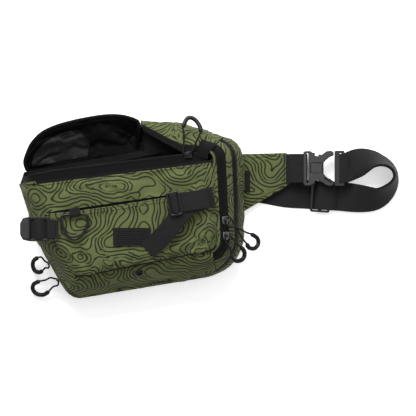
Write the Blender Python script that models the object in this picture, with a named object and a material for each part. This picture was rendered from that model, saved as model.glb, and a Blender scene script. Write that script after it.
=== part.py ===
"""A padded sling bag lying on its back with its main mouth unzipped.

Metres, +Z up. The origin is on the floor under the middle of the bag. +X runs along the bag towards
the shoulder strap, +Y towards the open mouth, and the front of the bag faces +Z.
"""

import math

import bmesh
import bpy
import numpy as np
from mathutils import Matrix, Vector

# Clearances and cloth
CLEAR = 0.0004
FABRIC = 0.0024
LINING = 0.0012
WEBBING = 0.0016
ZIP_TAPE = 0.0012
ZIP_RECESS = 0.0005

# Bag body
PAD_THICK = 0.007
BOARD_THICK = 0.0028
BAG_DEPTH = 0.066
STRAP_WIDTH = 0.038
STRAP_RUN_Y = 0.037
STRAP_CHANNEL_MARGIN = 0.0025
POCKET_HEIGHT = 0.0085
POCKET_WALL = 0.0024
SLOT_GAP = 0.0056
UPPER_PANEL_THICK = 0.0032

# Seams as (x, y, corner radius), from the left end of the mouth round the bottom to its right end
BACK_SEAM = [
    (-0.151, 0.041, 0.0),
    (-0.129, -0.028, 0.050),
    (-0.082, -0.110, 0.018),
    (0.142, -0.073, 0.064),
    (0.1405, 0.0950, 0.032),
    (0.062, 0.118, 0.040),
    (0.008, 0.1235, 0.0),
]
FRONT_SEAM = [
    (-0.128, 0.044, 0.0),
    (-0.103, -0.033, 0.040),
    (-0.076, -0.080, 0.010),
    (0.109, -0.043, 0.014),
    (0.102, 0.0800, 0.008),
    (0.062, 0.0890, 0.014),
    (0.010, 0.1130, 0.0),
]
FRONT_SEAM_DROP = [0.0, 0.0, 0.0, 0.0, 0.0, 0.006, 0.052]
STRAIGHT_STEPS = 3
CORNER_STEPS = 5
CORNER = STRAIGHT_STEPS + CORNER_STEPS
RIGHT_FROM = 3 * CORNER - CORNER_STEPS + 1
RIGHT_TO = 4 * CORNER
LAST_COLUMN = 6 * CORNER - CORNER_STEPS
ZONE_GAP = 0.08
RIM_RIGHT = (0.098, 0.0717)
SLOT_LEFT = (-0.112, 0.003)
SLOT_RIGHT = (0.097, 0.034)

# Zips on the side wall, as distances along the wall from the front seam
FRONT_ZIP_START = 0.005
ZIP_WIDTH = 0.014
ZIP_SLIT = 0.0026
REAR_ZIP_RIGHT = 0.0385
REAR_ZIP_LOW = 0.056
REAR_ZIP_RAMP = [0.0, 0.26, 0.74, 1.0]
RIM_TAPE_WIDTH = 0.0095

# Mouth flap
FLAP_HINGE_LEFT = (-0.142, 0.0588)
FLAP_HINGE_RIGHT = (0.004, 0.0850)
FLAP_DEPTH = 0.056
FLAP_TILT = math.radians(20.0)
FLAP_POCKET_THICK = 0.0022

# Zip sliders and their cord pulls
SLIDER_LENGTH = 0.010
SLIDER_WIDTH = 0.0085
SLIDER_PLATE = 0.0015
SLIDER_NECK = 0.0016
SLIDER_PLAY = 0.0009
EYE_RADIUS = 0.0020
EYE_WALL = 0.0013
EYE_THICK = 0.0012
CORD_DIAMETER = 0.0022
SLEEVE_DIAMETER = 0.0052
MAIN_SLIDER_X = 0.0715

# Each pull as the cord to the eye, the sleeve, the cord from the eye and the direction of its pull
MAIN_PULL = (
    [(0.0645, 0.1085, 0.0785), (0.0655, 0.0995, 0.0800)],
    [(0.0635, 0.1140, 0.0770), (0.0690, 0.1250, 0.0740), (0.0750, 0.1265, 0.0735),
     (0.0815, 0.1220, 0.0745), (0.0865, 0.1135, 0.0770), (0.0870, 0.1075, 0.0785)],
    [(0.0840, 0.1010, 0.0800)],
    (-0.15, 1, 0),
)
FRONT_UPPER_PULL = (
    [(0.146, -0.0225, 0.0700), (0.136, -0.0175, 0.0765)],
    [(0.1525, -0.0245, 0.0650), (0.1605, -0.0300, 0.0590), (0.1620, -0.0375, 0.0570),
     (0.1570, -0.0435, 0.0600), (0.1500, -0.0425, 0.0650), (0.1468, -0.0370, 0.0680)],
    [(0.1410, -0.0300, 0.0725)],
    (0.9, -0.45, 0),
)
FRONT_LOWER_PULL = (
    [(0.1345, -0.0380, 0.0730)],
    [(0.1395, -0.0415, 0.0690), (0.1440, -0.0485, 0.0640), (0.1425, -0.0565, 0.0630),
     (0.1355, -0.0600, 0.0670), (0.1290, -0.0575, 0.0710), (0.1265, -0.0510, 0.0740)],
    [(0.1248, -0.0430, 0.0775)],
    (0.45, -0.9, 0),
)
REAR_UPPER_PULL = (
    [(-0.1225, -0.0555, 0.0200)],
    [(-0.1275, -0.0560, 0.0160), (-0.1330, -0.0600, 0.0110), (-0.1345, -0.0660, 0.0090),
     (-0.1320, -0.0730, 0.0085), (-0.1260, -0.0755, 0.0110), (-0.1215, -0.0735, 0.0150)],
    [(-0.1175, -0.0695, 0.0195)],
    (-0.85, -0.5, -0.3),
)
REAR_LOWER_PULL = (
    [(-0.1175, -0.0855, 0.0180), (-0.1110, -0.0825, 0.0225)],
    [(-0.1250, -0.0870, 0.0140), (-0.1330, -0.0910, 0.0090), (-0.1345, -0.0980, 0.0075),
     (-0.1290, -0.1040, 0.0070), (-0.1200, -0.1050, 0.0085), (-0.1130, -0.1005, 0.0130)],
    [(-0.1075, -0.0945, 0.0185)],
    (-0.8, -0.6, -0.3),
)

# Hardware
BUCKLE_THICK = 0.0092
BUCKLE_BAR = 0.0036
BUCKLE_X = 0.222
BUCKLE_Y = 0.0615
BUCKLE_Z = 0.0152
PRONG_THICK = 0.0040
WEB_FIT = 0.0007
HANDLE_WIDTH = 0.025
LADDER_BAR = 0.0030
D_RING_WIRE = 0.0036
WING_THICK = 0.0046
LABEL_THICK = 0.0012
LABEL_LOW = (-0.026, -0.0397)
LABEL_HIGH = (0.021, -0.0172)
LOCK_BAR = (-0.1100, -0.0180)
D_RING_HINGE = (-0.0760, 0.0012)
D_RING_LINE = [(-0.0930, -0.0020), (-0.0760, 0.0010), (-0.0610, 0.0000), (-0.0590, -0.0100),
               (-0.0650, -0.0230), (-0.0740, -0.0310), (-0.0830, -0.0290), (-0.0910, -0.0170)]
HANDLE_LINE = [(0.0185, -0.0462, 0.0030), (0.0260, -0.0387, 0.0036), (0.0340, -0.0307, 0.0060),
               (0.0430, -0.0212, 0.0098), (0.0515, -0.0110, 0.0120), (0.0590, -0.0005, 0.0125),
               (0.0690, 0.0095, 0.0115), (0.0825, 0.0168, 0.0080), (0.0970, 0.0228, 0.0022),
               (0.1035, 0.0250, 0.0012)]
HANDLE_ACROSS = [(-0.71, 0.71), (-0.71, 0.71), (-0.71, 0.71), (-0.74, 0.67), (-0.78, 0.62), (-0.74, 0.67),
                 (-0.54, 0.84), (-0.33, 0.94), (-0.25, 0.97), (-0.25, 0.97)]
HANDLE_GLIDE = (0.0530, 0.0148, 0.0152)
HANDLE_GLIDE_TURN = math.radians(12)
SOCKET_HALF = [(0.0, 0.0225), (0.0100, 0.0225), (0.0180, 0.0165), (0.0250, 0.0155), (0.0330, 0.0195),
               (0.0400, 0.0232), (0.0400, 0.0170), (0.0265, 0.0075)]
PRONG_HALF = [(0.0398, 0.0208), (0.0398, 0.0168), (0.0240, 0.0105), (0.0195, 0.0122), (0.0195, 0.0185),
              (0.0225, 0.0182), (0.0280, 0.0150)]

# Levels
BOARD_Z = PAD_THICK + CLEAR
BACK_Z = BOARD_Z + BOARD_THICK + CLEAR
FRONT_Z = BACK_Z + BAG_DEPTH
POCKET_Z = FRONT_Z + CLEAR
POCKET_TOP = POCKET_Z + POCKET_HEIGHT
WING_HINGE_X = 0.1435
WING_END_X = 0.202

# Doubled shoulder strap as (x, y, lean in degrees)
STRAP_STATIONS = [
    (WING_HINGE_X + 2 * CLEAR, 0.0370, 0), (0.150, 0.0369, 0), (0.172, 0.0338, 0), (0.200, 0.0288, 0),
    (0.225, 0.0272, 0), (0.250, 0.0256, 0), (0.275, 0.0240, 0), (0.297, 0.0216, 22), (0.3128, 0.0208, 38),
    (0.3234, 0.0235, 50), (0.3335, 0.0312, 62), (0.3405, 0.0405, 74), (0.3432, 0.0500, 82),
    (0.3412, 0.0590, 82), (0.3345, 0.0667, 78), (0.3245, 0.0715, 70), (0.3128, 0.0735, 54),
    (0.3010, 0.0715, 30),
]
STRAP_LIFT = [(0.2920, 0.0680, 0.0085, 10), (0.2840, 0.0645, BUCKLE_Z - 0.002, 0)]
STRAP_END_X = 0.2640
STRAP_END_SLOPE = -0.064
FLOOR_LAYER = 0.0024
LAYER_OFFSET = WEBBING / 2 + CLEAR


def clear_scene():
    """Starts from nothing."""
    for thing in list(bpy.data.objects):
        bpy.data.objects.remove(thing)


def finish(name, colour, roughness, metallic=0.0):
    """A plain Principled material."""
    made = bpy.data.materials.new(name)
    made.use_nodes = True
    shader = made.node_tree.nodes["Principled BSDF"]
    shader.inputs["Base Color"].default_value = (*colour, 1.0)
    shader.inputs["Roughness"].default_value = roughness
    shader.inputs["Metallic"].default_value = metallic
    return made


def mesh_object(name, points, faces, material):
    """One named object from points and faces, with its faces turned outwards."""
    shape = bmesh.new()
    spots = [shape.verts.new(Vector(p)) for p in points]
    for face in faces:
        shape.faces.new([spots[i] for i in face])
    bmesh.ops.recalc_face_normals(shape, faces=shape.faces)
    bmesh.ops.triangulate(shape, faces=shape.faces)
    return object_of(name, shape, material)


def object_of(name, shape, material):
    """One named object from a shape."""
    mesh = bpy.data.meshes.new(name)
    shape.to_mesh(mesh)
    shape.free()
    mesh.materials.append(material)
    thing = bpy.data.objects.new(name, mesh)
    bpy.context.scene.collection.objects.link(thing)
    return thing


def set_origin(thing, point):
    """Moves an object's origin to a point and leaves its shape where it is."""
    shift = Vector(point) - thing.location
    thing.data.transform(Matrix.Translation(-shift))
    thing.location = Vector(point)
    return thing


def rounded_path(corners, heights):
    """Points along an open path whose inner corners are smooth curves of the radius given."""
    spots = [Vector((c[0], c[1], z)) for c, z in zip(corners, heights)]
    line = [spots[0]]
    for before, spot, after, corner in zip(spots, spots[1:], spots[2:], corners[1:]):
        into, out = before - spot, after - spot
        reach = corner[2] / math.tan(into.angle(out) / 2)
        reach = min(reach, 0.48 * into.length, 0.48 * out.length)
        enter = spot + into.normalized() * reach
        leave = spot + out.normalized() * reach
        start = line[-1]
        for i in range(STRAIGHT_STEPS):
            line.append(start.lerp(enter, (i + 1) / STRAIGHT_STEPS))
        for i in range(CORNER_STEPS):
            t = (i + 1) / CORNER_STEPS
            line.append(enter.lerp(spot, t).lerp(spot.lerp(leave, t), t))
    start = line[-1]
    for i in range(STRAIGHT_STEPS):
        line.append(start.lerp(spots[-1], (i + 1) / STRAIGHT_STEPS))
    return np.array(line)


def smooth_route(points, step):
    """Points about one step apart on a smooth curve through the points given."""
    p = np.array(points, float)
    p = np.vstack([2 * p[0] - p[1], p, 2 * p[-1] - p[-2]])
    dense = []
    for a, b, c, d in zip(p, p[1:], p[2:], p[3:]):
        for t in np.linspace(0, 1, 24, endpoint=False):
            dense.append(
                0.5 * (2 * b + (c - a) * t + (2 * a - 5 * b + 4 * c - d) * t**2
                       + (3 * b - a - 3 * c + d) * t**3)
            )
    dense.append(p[-2])
    dense = np.array(dense)
    along = np.concatenate([[0], np.cumsum(np.linalg.norm(np.diff(dense, axis=0), axis=1))])
    at = np.linspace(0, along[-1], max(4, round(along[-1] / step) + 1))
    return np.stack([np.interp(at, along, dense[:, k]) for k in range(3)], axis=1)


def tube(name, route, diameter, material, closed=False):
    """A round tube along a route."""
    curve = bpy.data.curves.new(name, "CURVE")
    curve.dimensions = "3D"
    curve.bevel_depth = diameter / 2
    curve.bevel_resolution = 2
    curve.use_fill_caps = True
    spline = curve.splines.new("POLY")
    spline.points.add(len(route) - 1)
    for spot, place in zip(spline.points, route):
        spot.co = (*place, 1.0)
    spline.use_cyclic_u = closed
    curve.materials.append(material)
    thing = bpy.data.objects.new(name, curve)
    bpy.context.scene.collection.objects.link(thing)
    return thing


def thick_grid(name, outer, inner, material):
    """A closed sheet between two grids of points of the same size."""
    rows, columns = outer.shape[:2]
    count = rows * columns
    points = np.vstack([outer.reshape(-1, 3), inner.reshape(-1, 3)])
    at = np.arange(count).reshape(rows, columns)
    faces = []
    for r in range(rows - 1):
        for c in range(columns - 1):
            quad = [at[r, c], at[r, c + 1], at[r + 1, c + 1], at[r + 1, c]]
            faces.append(quad)
            faces.append([i + count for i in reversed(quad)])
    edge = [*at[0, :-1], *at[:-1, -1], *at[-1, :0:-1], *at[:0:-1, 0]]
    for a, b in zip(edge, edge[1:] + edge[:1]):
        faces.append([b, a, a + count, b + count])
    return mesh_object(name, points, faces, material)


def inset(outline, distance):
    """A closed outline, run anticlockwise, moved inwards by a distance."""
    p = np.array(outline, float)[:, :2]
    ahead = np.roll(p, -1, axis=0) - p
    ahead /= np.linalg.norm(ahead, axis=1)[:, None]
    behind = np.roll(ahead, 1, axis=0)
    left = np.stack([-ahead[:, 1], ahead[:, 0]], axis=1)
    left_behind = np.stack([-behind[:, 1], behind[:, 0]], axis=1)
    bisector = left + left_behind
    bisector /= np.maximum((bisector * left).sum(1), 0.35)[:, None]
    return p + bisector * distance


def slab(name, outline, low, high, material):
    """A plate of one outline between two heights."""
    shape = bmesh.new()
    base = shape.faces.new([shape.verts.new((p[0], p[1], low)) for p in outline])
    made = bmesh.ops.extrude_face_region(shape, geom=[base])
    tops = [v for v in made["geom"] if isinstance(v, bmesh.types.BMVert)]
    bmesh.ops.translate(shape, verts=tops, vec=(0, 0, high - low))
    bmesh.ops.recalc_face_normals(shape, faces=shape.faces)
    return object_of(name, shape, material)


def box_outline(low, high):
    """A rectangle's corners."""
    return [(low[0], low[1]), (high[0], low[1]), (high[0], high[1]), (low[0], high[1])]


def cut(thing, cutter):
    """Takes a cutter's shape out of an object."""
    cutter.hide_render = True
    cutter.display_type = "WIRE"
    change = thing.modifiers.new("cut_" + cutter.name, "BOOLEAN")
    change.operation = "DIFFERENCE"
    change.solver = "EXACT"
    change.object = cutter


def join(thing, other):
    """Adds another shape to an object as one body."""
    other.hide_render = True
    other.display_type = "WIRE"
    change = thing.modifiers.new("join_" + other.name, "BOOLEAN")
    change.operation = "UNION"
    change.solver = "EXACT"
    change.object = other


def ribbon(name, middles, across, width, thick, material):
    """Webbing along a line of middles, with the direction across it at each."""
    middles, across = np.array(middles, float), np.array(across, float)
    across /= np.linalg.norm(across, axis=1)[:, None]
    normals = np.cross(np.gradient(middles, axis=0), across)
    normals /= np.linalg.norm(normals, axis=1)[:, None]
    grids = []
    for side in (0.5, -0.5):
        skin = middles + normals * thick * side
        grids.append(np.stack([skin - across * width / 2, skin + across * width / 2], axis=0))
    return thick_grid(name, *grids, material)


class SideWall:
    """The rounded wall from the front seam out and down to the back seam, as a quarter ellipse all round."""

    def __init__(self):
        low = [BACK_Z] * len(BACK_SEAM)
        high = [FRONT_Z - drop for drop in FRONT_SEAM_DROP]
        self.back = rounded_path(BACK_SEAM, low)
        self.front = rounded_path(FRONT_SEAM, high)

    def seam(self, line, column):
        """A point of a seam."""
        spots = np.arange(len(line))
        return np.array([np.interp(column, spots, line[:, k]) for k in range(3)])

    def ellipse(self, column):
        """The wall's curve at a column and the distances along it."""
        front, back = self.seam(self.front, column), self.seam(self.back, column)
        angles = np.linspace(0, math.pi / 2, 60)
        curve = (
            front[None, :] * [1, 1, 0]
            + (back - front)[None, :] * [1, 1, 0] * np.sin(angles)[:, None]
        )
        curve[:, 2] = back[2] + (front[2] - back[2]) * np.cos(angles)
        along = np.linalg.norm(np.diff(curve, axis=0), axis=1)
        return curve, np.concatenate([[0], np.cumsum(along)])

    def length(self, column):
        """The wall's length from seam to seam."""
        return self.ellipse(column)[1][-1]

    def point(self, column, distance):
        """A point of the wall."""
        curve, along = self.ellipse(column)
        return np.array([np.interp(distance, along, curve[:, k]) for k in range(3)])

    def normal(self, column, distance):
        """The wall's outward direction."""
        step, reach = 0.25, 0.0008
        last = len(self.front) - 1
        before, after = max(column - step, 0), min(column + step, last)
        total = self.length(column)
        along = self.point(after, distance) - self.point(before, distance)
        lower, upper = min(distance + reach, total), max(distance - reach, 0)
        down = self.point(column, lower) - self.point(column, upper)
        up = np.cross(along, down)
        up /= np.linalg.norm(up)
        outward = (self.seam(self.back, column) - self.seam(self.front, column)) * [1, 1, 0] + [0, 0, 0.02]
        return up if up @ outward > 0 else -up

    def band(self, name, columns, near, far, rows, top, thick, material):
        """A strip between two distances from the front seam, top above the wall's face and thick deep."""
        outer, inner = [], []
        for t in np.linspace(0, 1, rows):
            outer_row, inner_row = [], []
            for column in columns:
                start, end = near(column), far(column)
                distance = start + (end - start) * t
                spot, up = self.point(column, distance), self.normal(column, distance)
                outer_row.append(spot + up * top)
                inner_row.append(spot + up * (top - thick))
            outer.append(outer_row)
            inner.append(inner_row)
        return thick_grid(name, np.array(outer), np.array(inner), material)


def rear_zip_at(column):
    """The rear zip runs high on the right end and low along the bottom and the left end."""
    ramp = np.interp(column, np.arange(4) + RIGHT_FROM - 1, REAR_ZIP_RAMP)
    return REAR_ZIP_LOW + (REAR_ZIP_RIGHT - REAR_ZIP_LOW) * ramp


def build_wall(wall, green, black):
    """The fabric strips and zip tapes of the side wall."""
    half = ZIP_WIDTH / 2
    left = [c for c in np.arange(0, RIGHT_FROM, 1.0)] + [RIGHT_FROM - ZONE_GAP]
    right = [RIGHT_FROM + ZONE_GAP, *np.arange(RIGHT_FROM + 1, RIGHT_TO, 1.0), RIGHT_TO - ZONE_GAP]
    round_all = left[:-1] + [RIGHT_FROM] + right[1:]
    top = [RIGHT_TO + ZONE_GAP, *np.arange(RIGHT_TO + 1, LAST_COLUMN + 1, 1.0)]
    zip_near, zip_far = FRONT_ZIP_START, FRONT_ZIP_START + ZIP_WIDTH
    wall.band("gusset_left_bottom", left, lambda c: 0, lambda c: rear_zip_at(c) - half - CLEAR, 6,
              0, FABRIC, green)
    wall.band("gusset_right_front", right, lambda c: 0, lambda c: zip_near - CLEAR, 3, 0, FABRIC, green)
    wall.band("gusset_right_middle", right, lambda c: zip_far + CLEAR,
              lambda c: rear_zip_at(c) - half - CLEAR, 3, 0, FABRIC, green)
    wall.band("gusset_back_strip", round_all, lambda c: rear_zip_at(c) + half + CLEAR,
              lambda c: wall.length(c), 5, 0, FABRIC, green)
    wall.band("top_gusset", top, lambda c: 0, lambda c: wall.length(c), 7, 0, FABRIC, green)
    for name, columns, middle in (
        ("front_zip_tape", right, lambda c: (zip_near + zip_far) / 2),
        ("rear_zip_tape", round_all, rear_zip_at),
    ):
        for side, sign in (("inner", -1), ("outer", 1)):
            edges = sorted((sign * ZIP_SLIT / 2, sign * half))
            wall.band(f"{name}_{side}", columns, lambda c: middle(c) + edges[0],
                      lambda c: middle(c) + edges[1], 3, -ZIP_RECESS, ZIP_TAPE, black)


def front_outline(wall):
    """The front seam closed along the mouth's rim, anticlockwise."""
    last = 4 * CORNER - CORNER_STEPS
    return [*wall.front[: last + 1, :2], RIM_RIGHT]


def line_at(start, end, x):
    """The Y of a straight line at an X."""
    return start[1] + (end[1] - start[1]) * (x - start[0]) / (end[0] - start[0])


def split_outline(outline, below, offset):
    """The part of the front outline on one side of the pocket slot's line, moved off it."""
    kept = []

    def height(p):
        return p[1] - line_at(SLOT_LEFT, SLOT_RIGHT, p[0]) - offset

    for p, q in zip(outline, [*outline[1:], outline[0]]):
        p, q = np.array(p), np.array(q)
        hp, hq = height(p), height(q)
        if (hp < 0) == below:
            kept.append(p)
        if (hp < 0) != (hq < 0):
            kept.append(p + (q - p) * hp / (hp - hq))
    return kept


def build_front(wall, green, black):
    """The front panel, the zipless slip pocket on it and the panel above its slot."""
    outline = inset(front_outline(wall), CLEAR)
    slab("front_inner_panel", outline, FRONT_Z - FABRIC, FRONT_Z, green)
    upper = split_outline(inset(outline, CLEAR), False, SLOT_GAP / 2)
    slab("front_upper_panel", upper, POCKET_Z, POCKET_Z + UPPER_PANEL_THICK, green)
    lower = split_outline(inset(outline, CLEAR), True, -SLOT_GAP / 2)
    pocket = slab("front_pocket_panel", lower, POCKET_Z, POCKET_TOP, green)
    hollow = split_outline(inset(outline, CLEAR + 2 * POCKET_WALL), True, SLOT_GAP)
    cut(pocket, slab("pocket_space", hollow, POCKET_Z - FABRIC, POCKET_TOP - POCKET_WALL, black))


def build_back(wall, black, mesh_cloth):
    """The stiff board of the back, its lining, its two pads and the net pocket inside."""
    hinge_left, hinge_right = FLAP_HINGE_LEFT, FLAP_HINGE_RIGHT
    edge = [*wall.back[:, :2], (hinge_right[0] + 0.002, hinge_right[1] - 0.0015),
            (hinge_left[0] - 0.004, hinge_left[1] - 0.0025)]
    slab("back_board", edge, BOARD_Z, BOARD_Z + BOARD_THICK, black)
    inner = inset(edge, FABRIC + 0.004)
    slab("back_lining", inner, BACK_Z, BACK_Z + LINING, black)
    low = STRAP_RUN_Y - STRAP_WIDTH / 2 - STRAP_CHANNEL_MARGIN
    high = STRAP_RUN_Y + STRAP_WIDTH / 2 + STRAP_CHANNEL_MARGIN
    lower_pad = rounded_path([(-0.116, low, 0), (-0.113, -0.030, 0.03), (-0.078, -0.096, 0.016),
                              (0.126, -0.064, 0.03), (0.130, low, 0)], [0] * 5)
    slab("back_pad_lower", lower_pad, 0, PAD_THICK, mesh_cloth)
    upper_pad = rounded_path([(-0.060, high, 0), (0.126, high, 0.006), (0.114, 0.094, 0.022),
                              (0.020, 0.112, 0.012), (0.014, 0.084, 0.01), (-0.060, 0.070, 0)], [0] * 6)
    slab("back_pad_upper", upper_pad, 0, PAD_THICK, mesh_cloth)
    floor = BACK_Z + LINING + CLEAR
    net = [(-0.066, -0.050), (0.060, -0.046), (0.036, 0.082), (-0.066, 0.062)]
    slab("mesh_pocket", net, floor, floor + 0.003, mesh_cloth)


def build_rim(wall, black):
    """The main zip's front tape along the mouth's rim and down the left wall, and its end tab."""
    start, end = np.array(FRONT_SEAM[0][:2]), np.array(RIM_RIGHT)
    ahead = (end - start) / np.linalg.norm(end - start)
    out = np.array([-ahead[1], ahead[0], 0.0])
    spots, ups = [], []
    for x in (0.084, 0.040, -0.010, -0.060, -0.110):
        spots.append([x, line_at(start, end, x), FRONT_Z])
        ups.append([0, 0, 1])
    for distance in (0.001, 0.006, 0.011, 0.016, 0.022, 0.028):
        spots.append(wall.point(0, distance))
        ups.append(wall.normal(0, distance))
    spots, ups = np.array(spots), np.array(ups)
    taper = np.interp(np.arange(len(spots)), [4, 6], [RIM_TAPE_WIDTH, 0.0055])[:, None]
    near = spots + out * CLEAR
    far = spots + out * (CLEAR + taper)
    top, low = ups * -ZIP_RECESS, ups * -(ZIP_RECESS + ZIP_TAPE)
    thick_grid("main_zip_tape_front", np.array([near + top, far + top]),
               np.array([near + low, far + low]), black)
    columns = [RIGHT_TO - 0.3, RIGHT_TO + 0.3, RIGHT_TO + 0.9, RIGHT_TO + 1.4]
    wall.band("main_zip_end_tab", columns, lambda c: 0, lambda c: 0.016, 4,
              LABEL_THICK + CLEAR, LABEL_THICK, black)


def flap_frame():
    """The flap's hinge end, its direction along the hinge, out across the flap, and off its face."""
    left, right = Vector((*FLAP_HINGE_LEFT, 0)), Vector((*FLAP_HINGE_RIGHT, 0))
    along = (right - left).normalized()
    flat = Vector((-along.y, along.x, 0))
    out = flat * math.cos(FLAP_TILT) + Vector((0, 0, math.sin(FLAP_TILT)))
    start = left + Vector((0, 0, BACK_Z + CLEAR))
    return start, along, out, along.cross(out), (right - left).length


def build_flap(green, black):
    """The rear of the mouth, folded out: its shell, lining, slip pocket and zip tape."""
    start, along, out, off, length = flap_frame()
    depth = FLAP_DEPTH
    corners = [(0.0, 0.002, 0), (-0.001, 0.43 * depth, 0.030), (0.23 * length, 0.94 * depth, 0.050),
               (0.66 * length, 1.08 * depth, 0.090), (0.985 * length, 0.90 * depth, 0.030),
               (length + 0.0065, 0.69 * depth, 0.006), (length, 0.002, 0)]
    outline = rounded_path(corners, [0] * len(corners))[::-1, :2]

    def place(p, height):
        return start + along * p[0] + out * p[1] + off * height

    def plate(name, edge, low, high, material):
        thing = slab(name, edge, low, high, material)
        turn = Matrix((along, out, off)).transposed().to_4x4()
        turn.translation = start
        thing.data.transform(turn)
        return set_origin(thing, start)

    plate("flap_shell", outline, 0, FABRIC, green)
    inner = inset(outline, 0.003)
    plate("flap_lining", inner, FABRIC + CLEAR, FABRIC + CLEAR + LINING, black)
    base = FABRIC + 2 * CLEAR + LINING
    pocket = rounded_path([(0.014, 0.006, 0), (0.016, 0.30 * depth, 0.010), (0.034, 0.56 * depth, 0.012),
                           (0.074, 0.76 * depth, 0.010), (0.080, 0.006, 0)], [0] * 5)[::-1, :2]
    plate("interior_pocket", pocket, base, base + FLAP_POCKET_THICK, black)
    rim = inset(outline, 0.001)[1:-1]
    low_edge = inset(outline, 0.001 + RIM_TAPE_WIDTH)[1:-1]
    grids = []
    for height in (base + ZIP_TAPE, base):
        grids.append(np.array([[place(p, height) for p in rim], [place(p, height) for p in low_edge]]))
    tape = thick_grid("flap_zip_tape", *grids, black)
    set_origin(tape, start)


def build_slider(name, spot, along, up, pull, metal, one_sided=0.0):
    """A zip slider at a spot on the tape: two plates, the neck between them and an eye for the cord."""
    along, up, pull = Vector(along).normalized(), Vector(up).normalized(), Vector(pull).normalized()
    side = up.cross(along)
    frame = Matrix((along, side, up)).transposed().to_4x4()
    frame.translation = Vector(spot)
    gap = ZIP_TAPE / 2 + SLIDER_PLAY
    top = gap + SLIDER_PLATE
    half_l, half_w = SLIDER_LENGTH / 2, SLIDER_WIDTH / 2

    def block(label, low, high):
        return slab(f"{name}_{label}", box_outline(low, high), low[2], high[2], metal)

    body = slab(name, box_outline((-half_l, -half_w), (half_l, half_w)), gap, top, metal)
    under = block("under", (-half_l, -half_w, -top), (half_l, half_w, -gap))
    neck = block("neck", (-half_l * 0.5, one_sided - SLIDER_NECK / 2, -top + SLIDER_PLATE / 2),
                 (half_l * 0.5, one_sided + SLIDER_NECK / 2, top - SLIDER_PLATE / 2))
    eye_height = top + EYE_RADIUS + EYE_WALL * 0.45
    eye = eye_ring(f"{name}_eye", metal)
    axis = pull.cross(Vector(up)).normalized()
    local = frame.to_3x3().inverted() @ axis
    turn = Vector((0, 0, 1)).rotation_difference(local).to_matrix().to_4x4()
    turn.translation = (0, 0, eye_height)
    eye.data.transform(turn)
    for extra in (under, neck, eye):
        extra.data.transform(frame)
        join(body, extra)
    body.data.transform(frame)
    set_origin(body, spot)
    for extra in (under, neck, eye):
        extra.parent = body
        extra.matrix_parent_inverse = Matrix.Translation(-Vector(spot))
    return frame @ Vector((0, 0, eye_height)), axis


def eye_ring(name, metal):
    """A flat ring round Z with smooth sides."""
    count = 14
    shape = bmesh.new()
    loops = []
    for radius, height in ((EYE_RADIUS, -0.5), (EYE_RADIUS + EYE_WALL, -0.5),
                           (EYE_RADIUS + EYE_WALL, 0.5), (EYE_RADIUS, 0.5)):
        loops.append([
            shape.verts.new((radius * math.cos(a), radius * math.sin(a), height * EYE_THICK))
            for a in np.linspace(0, 2 * math.pi, count, endpoint=False)
        ])
    for first, second in zip(loops, loops[1:] + loops[:1]):
        for i in range(count):
            j = (i + 1) % count
            shape.faces.new([first[i], first[j], second[j], second[i]])
    bmesh.ops.recalc_face_normals(shape, faces=shape.faces)
    thing = object_of(name, shape, metal)
    thing.data.shade_smooth()
    thing.data.set_sharp_from_angle(angle=math.radians(40))
    return thing


def build_pull(name, eye, axis, first_leg, sleeve_route, second_leg, black):
    """A cord through a slider's eye, and the moulded sleeve that its two ends run into."""
    eye, axis = np.array(eye), np.array(axis)
    towards = (np.array(sleeve_route[0]) + np.array(sleeve_route[-1])) / 2 - eye
    towards -= axis * (towards @ axis)
    towards /= np.linalg.norm(towards)
    near = np.array(first_leg[-1] if first_leg else sleeve_route[0])
    sign = 1.0 if (near - eye) @ axis > 0 else -1.0
    bow = [eye + axis * sign * 0.0052 + towards * 0.0042, eye, eye - axis * sign * 0.0052 + towards * 0.0042]
    sleeve = smooth_route(sleeve_route, 2.2 * SLEEVE_DIAMETER / 3)
    gap = 2 * CLEAR
    head = sleeve[0] + (sleeve[0] - sleeve[1]) / np.linalg.norm(sleeve[0] - sleeve[1]) * gap
    tail = sleeve[-1] + (sleeve[-1] - sleeve[-2]) / np.linalg.norm(sleeve[-1] - sleeve[-2]) * gap
    route = [head, *first_leg, *bow, *second_leg, tail]
    cord = tube(f"{name}_cord", smooth_route(route, 1.6 * CORD_DIAMETER), CORD_DIAMETER, black)
    grip = tube(f"{name}_sleeve", sleeve, SLEEVE_DIAMETER, black)
    for thing in (cord, grip):
        set_origin(thing, eye)


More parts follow.
